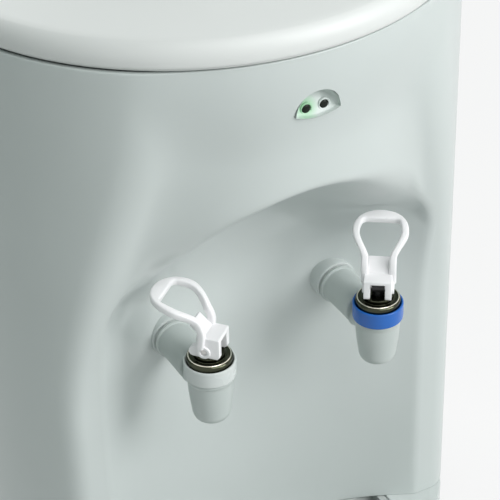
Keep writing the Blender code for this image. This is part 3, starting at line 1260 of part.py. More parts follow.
def build_lever(name, x, turn):
    """Two ears round the plunger's eye, with cams for feet, a thumb plate and the finger loop."""
    rest_height = PIN_HEIGHT - (BONNET_RISE + GAP + DISC_THICKNESS) - GAP
    side = [(1.4 * MM - HEAD_REACH, -rest_height)] + cam_foot(rest_height)
    side += [
        (HEAD_REACH, -rest_height / 2), (HEAD_REACH, 0), (HEAD_REACH - MM, 1.6 * MM), (EAR_BACK, 3.2 * MM),
        (EAR_BACK, HEAD_TOP), (0.4 * MM - HEAD_REACH, HEAD_TOP), (-HEAD_REACH, HEAD_TOP - 0.4 * MM),
        (-HEAD_REACH, 1.5 * MM - rest_height),
    ]
    half = LEVER_WIDTH / 2
    slot_half = half - EAR_THICKNESS
    slot_top = HEAD_TOP - HEAD_THICKNESS
    reach = 2 * HEAD_REACH
    across = Matrix(((0, 0, 1, 0), (1, 0, 0, 0), (0, 1, 0, 0), (0, 0, 0, 1)))
    slot = block((-slot_half, -reach, -reach), (slot_half, reach, slot_top))
    open_back = block((-slot_half, MM, slot_top - MM), (slot_half, reach, reach))
    place = (x, FAUCET_Y, COLLAR_TOP + PIN_HEIGHT)
    head = placed(prism(side, -half, half), across)
    lever = solid(name + "_lever", head, "lever", place, turn, cuts=[slot, open_back])

    slant = TONGUE_THICKNESS * math.sqrt(0.5)
    foot = HEAD_TOP - 2 * slant - slot_top
    profile = [
        (-2 * MM, HEAD_TOP - HEAD_THICKNESS / 2), (-foot, slot_top),
        (TONGUE_RISE + slant, HEAD_TOP + TONGUE_RISE - slant),
        (TONGUE_RISE, HEAD_TOP + TONGUE_RISE), (0, HEAD_TOP),
    ]
    tongue = placed(prism(profile, -TONGUE_WIDTH / 2, TONGUE_WIDTH / 2), across)
    bosses = merged(*[
        rod(EAR_BOSS_RADIUS, (side * (half - MM), 0, 0), (side * (half + EAR_BOSS_RISE), 0, 0)) for side in (
            -1, 1,
        )
    ])
    for number, shape in enumerate((tongue, bosses, loop_ring())):
        add_tool(lever, "UNION", shape, number, place, turn)
    pin_hole = rod(PIN_RADIUS + GAP, (-LEVER_WIDTH, 0, 0), (LEVER_WIDTH, 0, 0), TINY_SEGMENTS)
    add_tool(lever, "DIFFERENCE", pin_hole, 2, place, turn)


def build_turning_disc(name, x, turn):
    low = BONNET_RISE + GAP
    top = low + DISC_THICKNESS
    hole = STEM_RADIUS + RUN
    disc = [
        (hole, low), (DISC_RADIUS, low), (DISC_RADIUS, top - 0.5 * MM), (DISC_RADIUS - 0.5 * MM, top),
        (hole, top),
    ]
    solid(name + "_turning_disc", turned(disc, SMALL_SEGMENTS), "chrome", (x, FAUCET_Y, COLLAR_TOP), turn)


def build_faucet(name, side, turn, look, spigot_z):
    x = side * FAUCET_X
    build_faucet_body(name, x)
    build_faucet_trim(name, x, look)
    build_turning_disc(name, x, turn)
    build_plunger(name, x, turn)
    build_lever(name, x, turn)
    neck_z = COLLAR_TOP - NECK_DEPTH
    tail_y = BOSS_FACE_Y + TAIL_LENGTH + GAP
    reach = TANK_RADIUS + FOAM_THICKNESS + 7 * MM + GAP
    route = [
        (x, tail_y, neck_z), (x, tail_y + 4 * MM, neck_z), (x, tail_y + 11 * MM, neck_z + 12 * MM),
        spigot_point(side, spigot_z - 14 * MM, reach + 7 * MM), spigot_point(
            side, spigot_z, reach + 4 * MM,
        ),
        spigot_point(side, spigot_z, reach),
    ]
    hose(name + "_supply_hose", route, HOSE_RADIUS, "silicone")


def build_dispenser():
    clear_scene()
    build_base()
    build_front_panel()
    build_indicator()
    build_rear_housing()
    build_top_cover()
    build_bottle_seat()
    build_reservoir()
    build_insulation()
    build_cooling()
    build_fan()
    build_vent_cover()
    build_service_panel()
    build_power_board()
    build_drain()
    build_drip_tray()
    build_faucet("left", -1, LEFT_SWIVEL, "faucet", COOL_SPIGOT_Z)
    build_faucet("right", 1, RIGHT_SWIVEL, "blue", COLD_SPIGOT_Z)


build_dispenser()
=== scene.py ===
import math

import bmesh
import bpy
from mathutils import Matrix, Vector


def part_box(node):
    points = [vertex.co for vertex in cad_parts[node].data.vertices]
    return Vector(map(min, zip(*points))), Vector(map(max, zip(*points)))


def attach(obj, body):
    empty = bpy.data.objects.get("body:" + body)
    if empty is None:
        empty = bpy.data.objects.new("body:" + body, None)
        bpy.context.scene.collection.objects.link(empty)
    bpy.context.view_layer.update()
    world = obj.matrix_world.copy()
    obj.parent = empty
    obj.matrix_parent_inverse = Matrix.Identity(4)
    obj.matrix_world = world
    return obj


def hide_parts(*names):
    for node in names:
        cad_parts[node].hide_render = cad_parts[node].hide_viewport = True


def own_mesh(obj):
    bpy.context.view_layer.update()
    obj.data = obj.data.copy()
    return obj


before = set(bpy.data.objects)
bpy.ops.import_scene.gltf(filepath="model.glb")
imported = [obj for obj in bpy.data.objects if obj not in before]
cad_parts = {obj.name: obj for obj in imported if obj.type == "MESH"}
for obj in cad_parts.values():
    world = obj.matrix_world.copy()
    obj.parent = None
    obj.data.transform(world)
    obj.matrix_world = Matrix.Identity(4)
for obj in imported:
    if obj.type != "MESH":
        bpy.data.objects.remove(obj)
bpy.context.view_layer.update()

# Looks of the countertop water dispenser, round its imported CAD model. Metres, +Z up,
# the front faces -Y. Pieces take their places from the CAD nodes' own boxes.
MM = 0.001
TAU = 2.0 * math.pi

# ---------------------------------------------------------------- sizes from the frame
WALL = 2.6 * MM
SEAM = 0.3 * MM                     # clearance on each side of a joint line
HOUSING_LOW, HOUSING_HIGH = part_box("rear_housing")
BODY_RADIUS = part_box("top_cover")[1].x
RIM_Z = HOUSING_HIGH.z + SEAM       # joint line between body and top cover
BASE_TOP = HOUSING_LOW.z - SEAM     # joint line between base and body

# front surface, the same form as the CAD panel's on a finer mesh
HOOD_RADIUS = 105.0 * MM
HOOD_FRONT = 134.5 * MM
HOOD_START = 5.0 * MM               # below the rim, where the tighter arc begins
HOOD_FULL = 60.0 * MM               # and where it is complete
FIN_TOP_Y = 122.0 * MM
FIN_LOW_Y = 84.0 * MM
FIN_SWEEP = 220.0 * MM
SCOOP_DEPTH = 26.0 * MM
SCOOP_HALF_WIDTH = 97.0 * MM
SCOOP_SWELL = 9.0 * MM              # more depth where the levers' loops move
SWELL_BAND = (80.0 * MM, 140.0 * MM, 160.0 * MM, 200.0 * MM)
BROW_DEPTH = 79.0 * MM
BROW_DROP = 39.0 * MM
BROW_SPAN = 72.0 * MM
BROW_SOFT = 3.0 * MM                # rounding of the brow's edge
BROW_FADE = 13.0 * MM               # more of it towards the ends
COVE_STRETCH = 0.8                  # taller cove towards the brow's ends
UNDERCUT_RATIO = 1.09               # cove's height for each unit of its depth
VALLEY_BLEND = 12.0 * MM
CORNER_BLEND = 9.0 * MM
PANEL_COLUMNS = 150
HOOD_ROWS = 36
COVE_ROWS = 26
WALL_ROWS = 40
PANEL_GAP = 0.9 * MM                # more room under the cover than the joint line's
PANEL_ROUND = 0.8 * MM              # rounding of the panel's top edge
PANEL_ROUND_STEPS = 5
BOSS_REACH = 9.0 * MM
BOSS_STEPS = 128

# faucets: heights count from the collar's top
COLLAR_LOW, COLLAR_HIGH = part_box("left_collar")
FAUCET_X = -(COLLAR_LOW.x + COLLAR_HIGH.x) / 2
FAUCET_Y = (COLLAR_LOW.y + COLLAR_HIGH.y) / 2
COLLAR_TOP = COLLAR_HIGH.z
COLLAR_HEIGHT = COLLAR_HIGH.z - COLLAR_LOW.z
COLLAR_RADIUS = (COLLAR_HIGH.x - COLLAR_LOW.x) / 2
FAUCET_STEPS = 96
NECK_STEPS = 80
THROAT_STEPS = 64
DISC_STEPS = 80
BONNET_RADIUS = 12.0 * MM
BONNET_RISE = 3.4 * MM
BONNET_SKIRT = 8.0 * MM
DISC_RADIUS = 8.2 * MM
DISC_THICKNESS = 1.5 * MM
STEM_HOLE = 3.2 * MM
BEAD_RADIUS = 0.3 * MM
BEAD_SIDES = 10
SPRING_RADIUS = 4.6 * MM
SPRING_TURNS = 5
SPRING_STEPS = 32                   # in each turn
SPRING_ENDS = 0.08                  # share of the wire in each closed end
SPRING_PITCHED = 0.8                # share of the rise between the closed ends
WIRE_SIDES = 10
CUP_DEPTH = 36.0 * MM
CUP_SPIGOT = 10.6 * MM              # part of the cup inside the collar
CUP_SHOULDER = 12.7 * MM
CUP_BORE = 8.8 * MM
CUP_BORE_TOP = 3.0 * MM
VALVE_SEAT = 4.5 * MM
MOUTH_RADIUS = 7.2 * MM
NECK_DEPTH = 14.0 * MM
NECK_RADIUS = 10.2 * MM
NECK_FRONT = 15.6 * MM
FLANGE_RADIUS = 11.4 * MM
FLANGE_THICKNESS = 1.4 * MM
THROAT_DEPTH = 17.8 * MM
THROAT_RADIUS = 7.6 * MM
THROAT_FRONT = 9.5 * MM
PIPE_BORE = 4.0 * MM
TAIL_RADIUS = 6.8 * MM
BOSS_RADIUS = 12.0 * MM
BOSS_FACE_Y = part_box("left_wall_gasket")[1].y + SEAM

# lever: its places count from the pin
PIN_HEIGHT = 9.2 * MM
PIN_HOLE = 1.8 * MM
LEVER_WIDTH = 14.6 * MM
EAR_THICKNESS = 3.4 * MM
EAR_BOSS_RADIUS = 3.6 * MM
EAR_BOSS_RISE = 1.1 * MM
EAR_BOSS_STEPS = 48
HEAD_REACH = 8.3 * MM
HEAD_TOP = 8.4 * MM
HEAD_THICKNESS = 2.2 * MM
EAR_BACK = 4.1 * MM
EAR_FOOT = 3.7 * MM
TONGUE_WIDTH = 11.4 * MM
TONGUE_RISE = 6.6 * MM
TONGUE_THICKNESS = 2.2 * MM
LOOP_BACK = 1.0 * MM
LOOP_ROOT = 6.0 * MM
LOOP_LENGTH = 38.9 * MM
LOOP_ROOT_WIDTH = 18.6 * MM
LOOP_WIDTH = 29.6 * MM
LOOP_THICKNESS = 4.0 * MM
LOOP_FLARE = 9.0 * MM
LOOP_WIDEST = 22.6 * MM
LOOP_ARM = 3.8 * MM
LOOP_BAR = 7.5 * MM
LOOP_CORNER = 3.0 * MM
LOOP_ROUNDNESS = 2.2
LOOP_SLOPES = (97.0, 26.3, 2.1)     # degrees at the root, the middle and the end
LOOP_EDGE = 1.1 * MM                # rounding of the strip's edges
ARM_STATIONS = 44
CORNER_STATIONS = 10
BAR_STATIONS = 8
BEND_STEPS = 24

# motion of the lever
CAM_RATE = 5.2 * MM                 # lift for each radian of the press
CAM_STEPS = 12
PRESS_RANGE = math.radians(28.0)
LEFT_SWIVEL = math.radians(42.0)
RIGHT_SWIVEL = math.radians(-35.0)

# indicator in the hood
INDICATOR_FACE_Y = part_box("indicator_bezel")[0].y
INDICATOR_Z = RIM_Z - 31.0 * MM
INDICATOR_HALF = 12.0 * MM
INDICATOR_STEPS = 48
WINDOW_FOOT = -3.0 * MM             # heights in the window count from INDICATOR_Z
WINDOW_SAG = 2.2 * MM
WINDOW_CUT = 12.0 * MM
DISH_FOOT = -5.2 * MM
DISH_RISE = 10.0 * MM
DISH_SHALLOW = 0.4 * MM
DISH_DEPTH = 3.2 * MM
LED_RADIUS = 2.4 * MM
LED_PITCH = 9.6 * MM
LAMP_Z = -1.6 * MM
LENS_RISE = 0.4                     # share of the lamp's radius
DISH_RINGS = (                      # margin to the outline, start, share of the floor's depth
    (-0.05 * MM, -2.2 * MM, 0.0), (-0.05 * MM, -0.4 * MM, 0.0), (-0.25 * MM, 0.0, 0.0),
    (-0.7 * MM, 0.1 * MM, 0.1), (-2.6 * MM, 0.0, 0.9), (-3.2 * MM, 0.0, 1.0),
)
LAMP_STEPS = 48
# centre height of the painted green glow about the left lamp
GLOW_Z = -0.5 * MM
GLOW_RADII = (3.0 * MM, 7.0 * MM)   # painted green glow of the lit lamp: full inside the first, none outside the second

# cover and bottle seat
COVER_EDGE = 11.0 * MM
COVER_RISE = 30.0 * MM
COVER_BORE = 66.0 * MM
COVER_SLOPE = ((112.0 * MM, 0.63), (92.0 * MM, 0.85))  # radius, share of the rise
COVER_STEPS = 180
REVEAL = 1.5 * MM
SEAT_STEPS = 128
SEAT_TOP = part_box("bottle_collar")[1].z
SEAT_RING_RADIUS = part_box("bottle_collar")[1].x
SEAT_MOUTH = 60.0 * MM
FUNNEL_RADIUS = 19.0 * MM
FUNNEL_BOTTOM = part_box("bottle_collar")[0].z
FUNNEL_LENGTH = 23.0 * MM

# finishes
PATCHES = 14.0                      # noise scales, for each metre
GLOSS_PATCHES = 60.0
FINE_GRAIN = 900.0
GRAIN_HEIGHT = 0.1 * MM
MOTTLE_BAND = (0.3, 0.7)            # noise values at which the darker and lighter tones are full

# camera, floor and light
CAMERA_PLACE = (-0.3874, -0.8109, 0.7986)
# the camera's right, up and back
CAMERA_AXES = ((0.8801, -0.4741, -0.0220), (0.2820, 0.4853, 0.8276), (-0.3818, -0.7346, 0.5609))
CAMERA_LENS = 137.8
FLOOR_HALF = 4.0
FLOOR_PATCHES = 1.5
FLOOR_TONES = ((0.66, 0.66, 0.66), (0.70, 0.70, 0.70))
FLOOR_WHITE = 0.8                   # share of plain white that the camera sees in the floor
WORLD_STRENGTH = 0.26
WORLD_TINT = (0.82, 1.0, 0.95, 1.0)
WHITE = (1.0, 1.0, 1.0, 1.0)
LAMP_TARGET = (0.0, -0.05, 0.25)
LAMPS = (                           # name, place, side, power
    ("key", (1.05, -1.55, 1.2), 1.0, 25.0),
    ("back", (-0.5, 1.9, 1.2), 1.4, 24.0),
    ("top", (0.25, -1.2, 1.75), 1.2, 14.0),
)


# ---------------------------------------------------------------- materials
def tree_of(name):
    """A new material, with its node tree and its main shader."""
    material = bpy.data.materials.new(name)
    material.use_nodes = True
    return material, material.node_tree, material.node_tree.nodes["Principled BSDF"]


def noise(tree, scale, detail=2.0):
    """Noise in object space, as a value of 0 to 1."""
    place = tree.nodes.new("ShaderNodeTexCoord")
    node = tree.nodes.new("ShaderNodeTexNoise")
    node.inputs["Scale"].default_value = scale
    node.inputs["Detail"].default_value = detail
    tree.links.new(place.outputs["Object"], node.inputs["Vector"])
    return node.outputs["Fac"]


def ramp(tree, value, low, high, dark, light):
    """Colour between two, as the value goes from low to high."""
    node = tree.nodes.new("ShaderNodeValToRGB")
    node.color_ramp.elements[0].position = low
    node.color_ramp.elements[1].position = high
    node.color_ramp.elements[0].color = (*dark, 1.0)
    node.color_ramp.elements[1].color = (*light, 1.0)
    tree.links.new(value, node.inputs["Fac"])
    return node.outputs["Color"]


def spread(tree, value, low, high):
    """A value of 0 to 1 mapped onto a range."""
    node = tree.nodes.new("ShaderNodeMapRange")
    node.inputs["To Min"].default_value = low
    node.inputs["To Max"].default_value = high
    tree.links.new(value, node.inputs["Value"])
    return node.outputs["Result"]


def bump(tree, shader, value, strength, distance):
    """Fine relief on a shader, from a value."""
    node = tree.nodes.new("ShaderNodeBump")
    node.inputs["Strength"].default_value = strength
    node.inputs["Distance"].default_value = distance
    tree.links.new(value, node.inputs["Height"])
    tree.links.new(node.outputs["Normal"], shader.inputs["Normal"])


def moulded(name, colour, rough, shade, grain=FINE_GRAIN, depth=0.03, metallic=0.0, gloss=0.5):
    """Plastic or metal: faint mottling, uneven gloss and a very fine grain."""
    material, tree, shader = tree_of(name)
    dark = tuple(c * (1.0 - shade) for c in colour)
    light = tuple(min(1.0, c * (1.0 + shade)) for c in colour)
    mottle = noise(tree, PATCHES, 3.0)
    tree.links.new(ramp(tree, mottle, *MOTTLE_BAND, dark, light), shader.inputs["Base Color"])
    tree.links.new(spread(tree, noise(tree, GLOSS_PATCHES), *rough), shader.inputs["Roughness"])
    bump(tree, shader, noise(tree, grain, 1.0), depth, GRAIN_HEIGHT)
    shader.inputs["Metallic"].default_value = metallic
    shader.inputs["Specular IOR Level"].default_value = gloss
    return material


def bezel(name):
    """Pale recess, with a painted green glow of the lit left lamp around it."""
    material, tree, shader = tree_of(name)
    place = tree.nodes.new("ShaderNodeTexCoord")
    lamp = tree.nodes.new("ShaderNodeVectorMath")
    lamp.operation = "DISTANCE"
    lamp.inputs[1].default_value = (-LED_PITCH / 2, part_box("led_cool")[0].y, INDICATOR_Z + GLOW_Z)
    tree.links.new(place.outputs["Object"], lamp.inputs[0])
    share = tree.nodes.new("ShaderNodeMapRange")
    share.inputs["From Min"].default_value, share.inputs["From Max"].default_value = GLOW_RADII
    tree.links.new(lamp.outputs["Value"], share.inputs["Value"])
    # painted glow: green near the left lamp, the pale recess colour further out
    colour = ramp(tree, share.outputs["Result"], 0.0, 1.0, (0.34, 0.58, 0.38), (0.60, 0.65, 0.63))
    tree.links.new(colour, shader.inputs["Base Color"])
    tree.links.new(spread(tree, noise(tree, GLOSS_PATCHES), 0.35, 0.45), shader.inputs["Roughness"])
    return material


MATERIALS = {
    "shell": moulded("shell_finish", (0.58, 0.62, 0.61), (0.26, 0.34), 0.012),
    "cover": moulded("cover_finish", (0.71, 0.72, 0.71), (0.38, 0.46), 0.010),
    "faucet": moulded("faucet_finish", (0.49, 0.535, 0.52), (0.26, 0.36), 0.012),
    "lever": moulded("lever_finish", (0.90, 0.885, 0.90), (0.28, 0.36), 0.010),
    "blue": moulded("collar_blue_finish", (0.008, 0.125, 0.50), (0.20, 0.30), 0.05),
    "tray": moulded("tray_finish", (0.46, 0.49, 0.48), (0.36, 0.46), 0.02),
    "black": moulded("black_finish", (0.018, 0.018, 0.019), (0.34, 0.5), 0.15),
    "rubber": moulded("rubber_finish", (0.03, 0.03, 0.03), (0.65, 0.85), 0.15, 500.0, 0.12),
    "silicone": moulded("silicone_finish", (0.60, 0.63, 0.60), (0.45, 0.6), 0.03),
    "foam": moulded("foam_finish", (0.80, 0.80, 0.77), (0.8, 0.95), 0.05, 300.0, 0.4),
    "board": moulded("board_finish", (0.02, 0.13, 0.05), (0.35, 0.5), 0.15),
    "ceramic": moulded("ceramic_finish", (0.78, 0.78, 0.76), (0.5, 0.65), 0.03),
    "bezel": bezel("bezel_finish"),
    # ring round the left lamp, its green the lit lamp's glow: painted glow
    "painted_glow_ring": moulded("green_ring_finish", (0.30, 0.52, 0.33), (0.3, 0.4), 0.08),
    "dark_lens": moulded("dark_lens_finish", (0.012, 0.016, 0.012), (0.12, 0.2), 0.1, gloss=0.15),
    "collar_white": moulded("collar_white_finish", (0.62, 0.655, 0.645), (0.22, 0.32), 0.012),
    # bright metal for the thin ring on the bonnet's rounded edge: painted highlight
    "highlight_bead": moulded("bead_finish", (0.90, 0.86, 0.74), (0.12, 0.2), 0.03, FINE_GRAIN, 0.01, 1.0),
    "green_lens": moulded("green_lens_finish", (0.05, 0.30, 0.09), (0.1, 0.2), 0.1),
    # dark olive base colour on the plated bonnet and disc: painted dark reflection
    "chrome": moulded("chrome_finish", (0.055, 0.06, 0.04), (0.08, 0.16), 0.06, FINE_GRAIN, 0.01, 1.0),
    "steel": moulded("steel_finish", (0.50, 0.50, 0.49), (0.22, 0.34), 0.05, 700.0, 0.05, 1.0),
    "aluminium": moulded("aluminium_finish", (0.60, 0.61, 0.62), (0.32, 0.45), 0.05, 600.0, 0.06, 1.0),
}
FINISH = {
    "shell": "base_pan rear_housing front_panel rear_vent_cover",
    "cover": "top_cover bottle_collar",
    "faucet": "left_faucet_body right_faucet_body left_collar left_locknut right_locknut "
              "bottle_probe reservoir_lid baffle tank_stand drain_fitting drain_cap indicator_bezel",
    "lever": "left_lever right_lever",
    "blue": "right_collar",
    "tray": "drip_tray drip_grille",
    "black": "left_plunger right_plunger fan_frame fan_impeller service_panel power_inlet switch_frame "
             "switch_rocker led_cold",
    "rubber": "foot_front_left foot_front_right foot_rear_left foot_rear_right",
    "silicone": "left_wall_gasket right_wall_gasket reservoir_gasket left_seal right_seal left_supply_hose "
                "right_supply_hose drain_hose",
    "foam": "insulation_left insulation_right",
    "board": "power_board",
    "ceramic": "thermoelectric_module",
    "green_lens": "led_cool",
    "chrome": "left_bonnet right_bonnet left_turning_disc right_turning_disc",
    "steel": "reservoir left_hinge_pin right_hinge_pin left_spring right_spring",
    "aluminium": "cold_block heat_sink",
}


for look, names in FINISH.items():
    for name in names.split():
        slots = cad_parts[name].data.materials
        slots.clear()
        slots.append(MATERIALS[look])


# ---------------------------------------------------------------- general tools
def make(name, bm, look, body, node, angle=35.0, closed=True):
    """A piece from a mesh, which rides on a body and stands for a CAD node."""
    bmesh.ops.remove_doubles(bm, verts=bm.verts[:], dist=0.001 * MM)
    if closed:
        bmesh.ops.recalc_face_normals(bm, faces=bm.faces[:])
    mesh = bpy.data.meshes.new(name)
    bm.to_mesh(mesh)
    bm.free()
    obj = bpy.data.objects.new(name, mesh)
    bpy.context.scene.collection.objects.link(obj)
    obj.data.materials.append(MATERIALS[look])
    mesh.shade_smooth()
    mesh.set_sharp_from_angle(angle=math.radians(angle))
    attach(obj, body)
    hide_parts(node)
    return obj


def turned(profile, steps):
    """Turn a closed profile of (radius, height) points about Z."""
    bm = bmesh.new()
    verts = [bm.verts.new((radius, 0.0, height)) for radius, height in profile]
    edges = [bm.edges.new(pair) for pair in zip(verts, verts[1:] + verts[:1])]
    bmesh.ops.spin(bm, geom=verts + edges, cent=(0, 0, 0), axis=(0, 0, 1), angle=TAU, steps=steps)
    bmesh.ops.remove_doubles(bm, verts=bm.verts[:], dist=0.001 * MM)
    return bm


def eased(profile, radius, steps=3):
    """Round every corner of a closed profile by a small curve."""
    points = []
    count = len(profile)
    for number, corner in enumerate(profile):
        corner = Vector(corner)
        before = Vector(profile[number - 1]) - corner
        after = Vector(profile[(number + 1) % count]) - corner
        on_axis = abs(corner.x) < 0.01 * MM
        if on_axis or before.length < 0.01 * MM or after.length < 0.01 * MM:
            points.append(tuple(corner))
            continue
        first = corner + before * min(radius / before.length, 0.45)
        last = corner + after * min(radius / after.length, 0.45)
        for step in range(steps + 1):
            share = step / steps
            spot = first * (1 - share) ** 2 + corner * 2 * share * (1 - share) + last * share**2
            points.append(tuple(spot))
    return points


def flowing(points, steps):
    """Smooth curve through points, with both ends kept."""
    spots = [Vector(point) for point in points]
    spots = [2 * spots[0] - spots[1]] + spots + [2 * spots[-1] - spots[-2]]
    result = []
    for a, b, c, d in zip(spots, spots[1:], spots[2:], spots[3:]):
        for step in range(steps):
            t = step / steps
            square, cube = 2 * a - 5 * b + 4 * c - d, 3 * b - a - 3 * c + d
            result.append(tuple((2 * b + (c - a) * t + square * t**2 + cube * t**3) / 2))
    return result + [tuple(points[-1])]


def moved(bm, place, turn=0.0):
    """Turn a shape about Z, then take it to its place."""
    bm.transform(Matrix.Translation(place) @ Matrix.Rotation(turn, 4, "Z"))
    return bm


def along_y(bm, place):
    """Lay a shape made along +Z down, so that its top points to the back."""
    bm.transform(Matrix.Translation(place) @ Matrix.Rotation(math.radians(-90.0), 4, "X"))
    return bm


def facing_front(bm, place):
    """Stand a plan outline up, with its top towards +Z and its extrusion towards -Y."""
    bm.transform(Matrix.Translation(place) @ Matrix.Rotation(math.radians(90.0), 4, "X"))
    return bm


def prism(outline, low, high, edge=0.0):
    """Extrude a plan outline between two heights, with optional rounded edges."""
    bm = bmesh.new()
    face = bm.faces.new([bm.verts.new((x, y, low)) for x, y in outline])
    lifted = bmesh.ops.extrude_face_region(bm, geom=[face])["geom"]
    top = [item for item in lifted if isinstance(item, bmesh.types.BMVert)]
    bmesh.ops.translate(bm, verts=top, vec=(0, 0, high - low))
    bmesh.ops.recalc_face_normals(bm, faces=bm.faces[:])
    if edge:
        ease_edges(bm, edge)
    return bm


def ease_edges(bm, edge, limit=30.0, segments=3):
    """Bevel the edges that are sharper than a limit."""
    sharp = [e for e in bm.edges if e.is_manifold and e.calc_face_angle() > math.radians(limit)]
    bmesh.ops.bevel(
        bm, geom=sharp, offset=edge, segments=segments, profile=0.5, affect="EDGES", clamp_overlap=True,
    )


def across_x(bm):
    """Turn a profile of (y, z) points, extruded along Z, so that it is extruded along X."""
    bm.transform(Matrix(((0, 0, 1, 0), (1, 0, 0, 0), (0, 1, 0, 0), (0, 0, 0, 1))))
    return bm


def bridge(bm, rings):
    """Join each ring of points to the next by a band of faces."""
    for first, second in zip(rings, rings[1:]):
        count = len(first)
        for number in range(count):
            after = (number + 1) % count
            bm.faces.new((first[number], first[after], second[after], second[number]))


def joined(*shapes):
    """One mesh of several shapes."""
    bm = bmesh.new()
    for shape in shapes:
        mesh = bpy.data.meshes.new("shape")
        shape.to_mesh(mesh)
        shape.free()
        bm.from_mesh(mesh)
        bpy.data.meshes.remove(mesh)
    return bm


def cut_from(obj, bm):
    """Cut a shape out of a piece, and keep the result as the piece's own mesh."""
    mesh = bpy.data.meshes.new("cutter")
    bmesh.ops.recalc_face_normals(bm, faces=bm.faces[:])
    bm.to_mesh(mesh)
    bm.free()
    cutter = bpy.data.objects.new("cutter", mesh)
    bpy.context.scene.collection.objects.link(cutter)
    modifier = obj.modifiers.new("cut", "BOOLEAN")
    modifier.operation = "DIFFERENCE"
    modifier.object = cutter
    modifier.solver = "EXACT"
    settle(obj)
    bpy.data.objects.remove(cutter, do_unlink=True)
    bpy.data.meshes.remove(mesh)


def settle(obj):
    """Apply a piece's modifiers to its mesh."""
    bpy.context.view_layer.update()
    result = bpy.data.meshes.new_from_object(obj.evaluated_get(bpy.context.evaluated_depsgraph_get()))
    old = obj.data
    obj.modifiers.clear()
    obj.data = result
    bpy.data.meshes.remove(old)
    result.name = obj.name


def softened(node, look, body, edge):
    """A finer copy of a CAD node: flat faces made whole again, then rounded edges."""
    bm = bmesh.new()
    bm.from_mesh(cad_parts[node].data)
    bmesh.ops.remove_doubles(bm, verts=bm.verts[:], dist=0.002 * MM)
    bmesh.ops.dissolve_limit(bm, angle_limit=math.radians(0.6), verts=bm.verts[:], edges=bm.edges[:])
    ease_edges(bm, edge, segments=2)
    make(node + "_soft", bm, look, body, node)


def arc(centre, radius, start, end, steps):
    """Points on an arc, between two angles in degrees."""
    points = []
    for step in range(steps + 1):
        angle = math.radians(start + (end - start) * step / steps)
        points.append((centre[0] + radius * math.cos(angle), centre[1] + radius * math.sin(angle)))
    return points


# ---------------------------------------------------------------- front panel surface
def smooth_step(value, low, high):
    """0 up to low and 1 from high on, with an eased change between them."""
    share = min(1.0, max(0.0, (value - low) / (high - low)))
    return share * share * (3.0 - 2.0 * share)


def blend_min(first, second, width):
    """The lower of two values, with the change between them eased over a width."""
    overlap = max(width - abs(first - second), 0.0) / width
    return min(first, second) - overlap * overlap * width / 4.0


def blend_max(first, second, width):
    """The higher of two values, eased in the same way."""
    return -blend_min(-first, -second, width)


def round_body_y(x):
    """Front of the round body."""
    return -math.sqrt(max(BODY_RADIUS**2 - x**2, 0.0))


def hood_y(x, depth):
    """Hood: the round body's arc at the rim, growing into a tighter one below."""
    centre = HOOD_RADIUS - HOOD_FRONT
    tight = centre - math.sqrt(max(HOOD_RADIUS**2 - x**2, 0.0))
    share = smooth_step(depth, HOOD_START, HOOD_FULL)
    return round_body_y(x) + (tight - round_body_y(x)) * share


def fin_y(depth):
    """Front of the side fins, which run back as they go down."""
    return -FIN_TOP_Y + (FIN_TOP_Y - FIN_LOW_Y) * smooth_step(depth, 0.0, FIN_SWEEP)


def scoop_y(x, depth):
    """Hollow wall behind the faucets."""
    start, full, fade, end = SWELL_BAND
    swell = SCOOP_SWELL * smooth_step(depth, start, full) * (1.0 - smooth_step(depth, fade, end))
    return fin_y(depth) + (SCOOP_DEPTH + swell) * max(0.0, 1.0 - (x / SCOOP_HALF_WIDTH) ** 2)


def upper_y(x, depth):
    """Hood and fins together."""
    return blend_min(hood_y(x, depth), fin_y(depth), VALLEY_BLEND)


def brow_depth(x):
    """Depth of the brow below the rim, greater towards its ends."""
    return BROW_DEPTH + BROW_DROP * (x / BROW_SPAN) ** 2


def cove_height(x):
    """Height over which the brow's underside runs back to the scoop."""
    brow = brow_depth(x)
    tall = 1.0 + COVE_STRETCH * smooth_step(abs(x), 0.0, BROW_SPAN)
    return max(UNDERCUT_RATIO * tall * (scoop_y(x, brow) - upper_y(x, brow)), VALLEY_BLEND)


def brow_softness(x):
    """Width of the brow's rounding, never wider than its step."""
    fade = BROW_FADE * smooth_step(abs(x), 0.2 * BROW_SPAN, BROW_SPAN)
    step = scoop_y(x, brow_depth(x)) - upper_y(x, brow_depth(x))
    return max(min(BROW_SOFT + fade, 0.9 * step), SEAM)


def panel_y(x, z):
    """The panel's outer face."""
    depth = RIM_Z - z
    upper = upper_y(x, depth)
    share = min(1.0, max(-1.0, (depth - brow_depth(x)) / cove_height(x)))
    sunk = upper + (scoop_y(x, depth) - upper) * (1.0 - (1.0 - share) ** 2)
    front = blend_max(upper, sunk, brow_softness(x))
    return blend_max(round_body_y(x), front, CORNER_BLEND)


def panel_rows(x, low, high):
    """Heights of one column's points, closer together round the brow."""
    brow = min(RIM_Z - brow_depth(x), high - 2 * VALLEY_BLEND)
    foot = brow - cove_height(x)
    bands = ((high, brow, HOOD_ROWS), (brow, foot, COVE_ROWS), (foot, low, WALL_ROWS))
    rows = [low]
    for top, bottom, count in reversed(bands):
        rows += [bottom + (top - bottom) * step / count for step in range(1, count + 1)]
    return rows


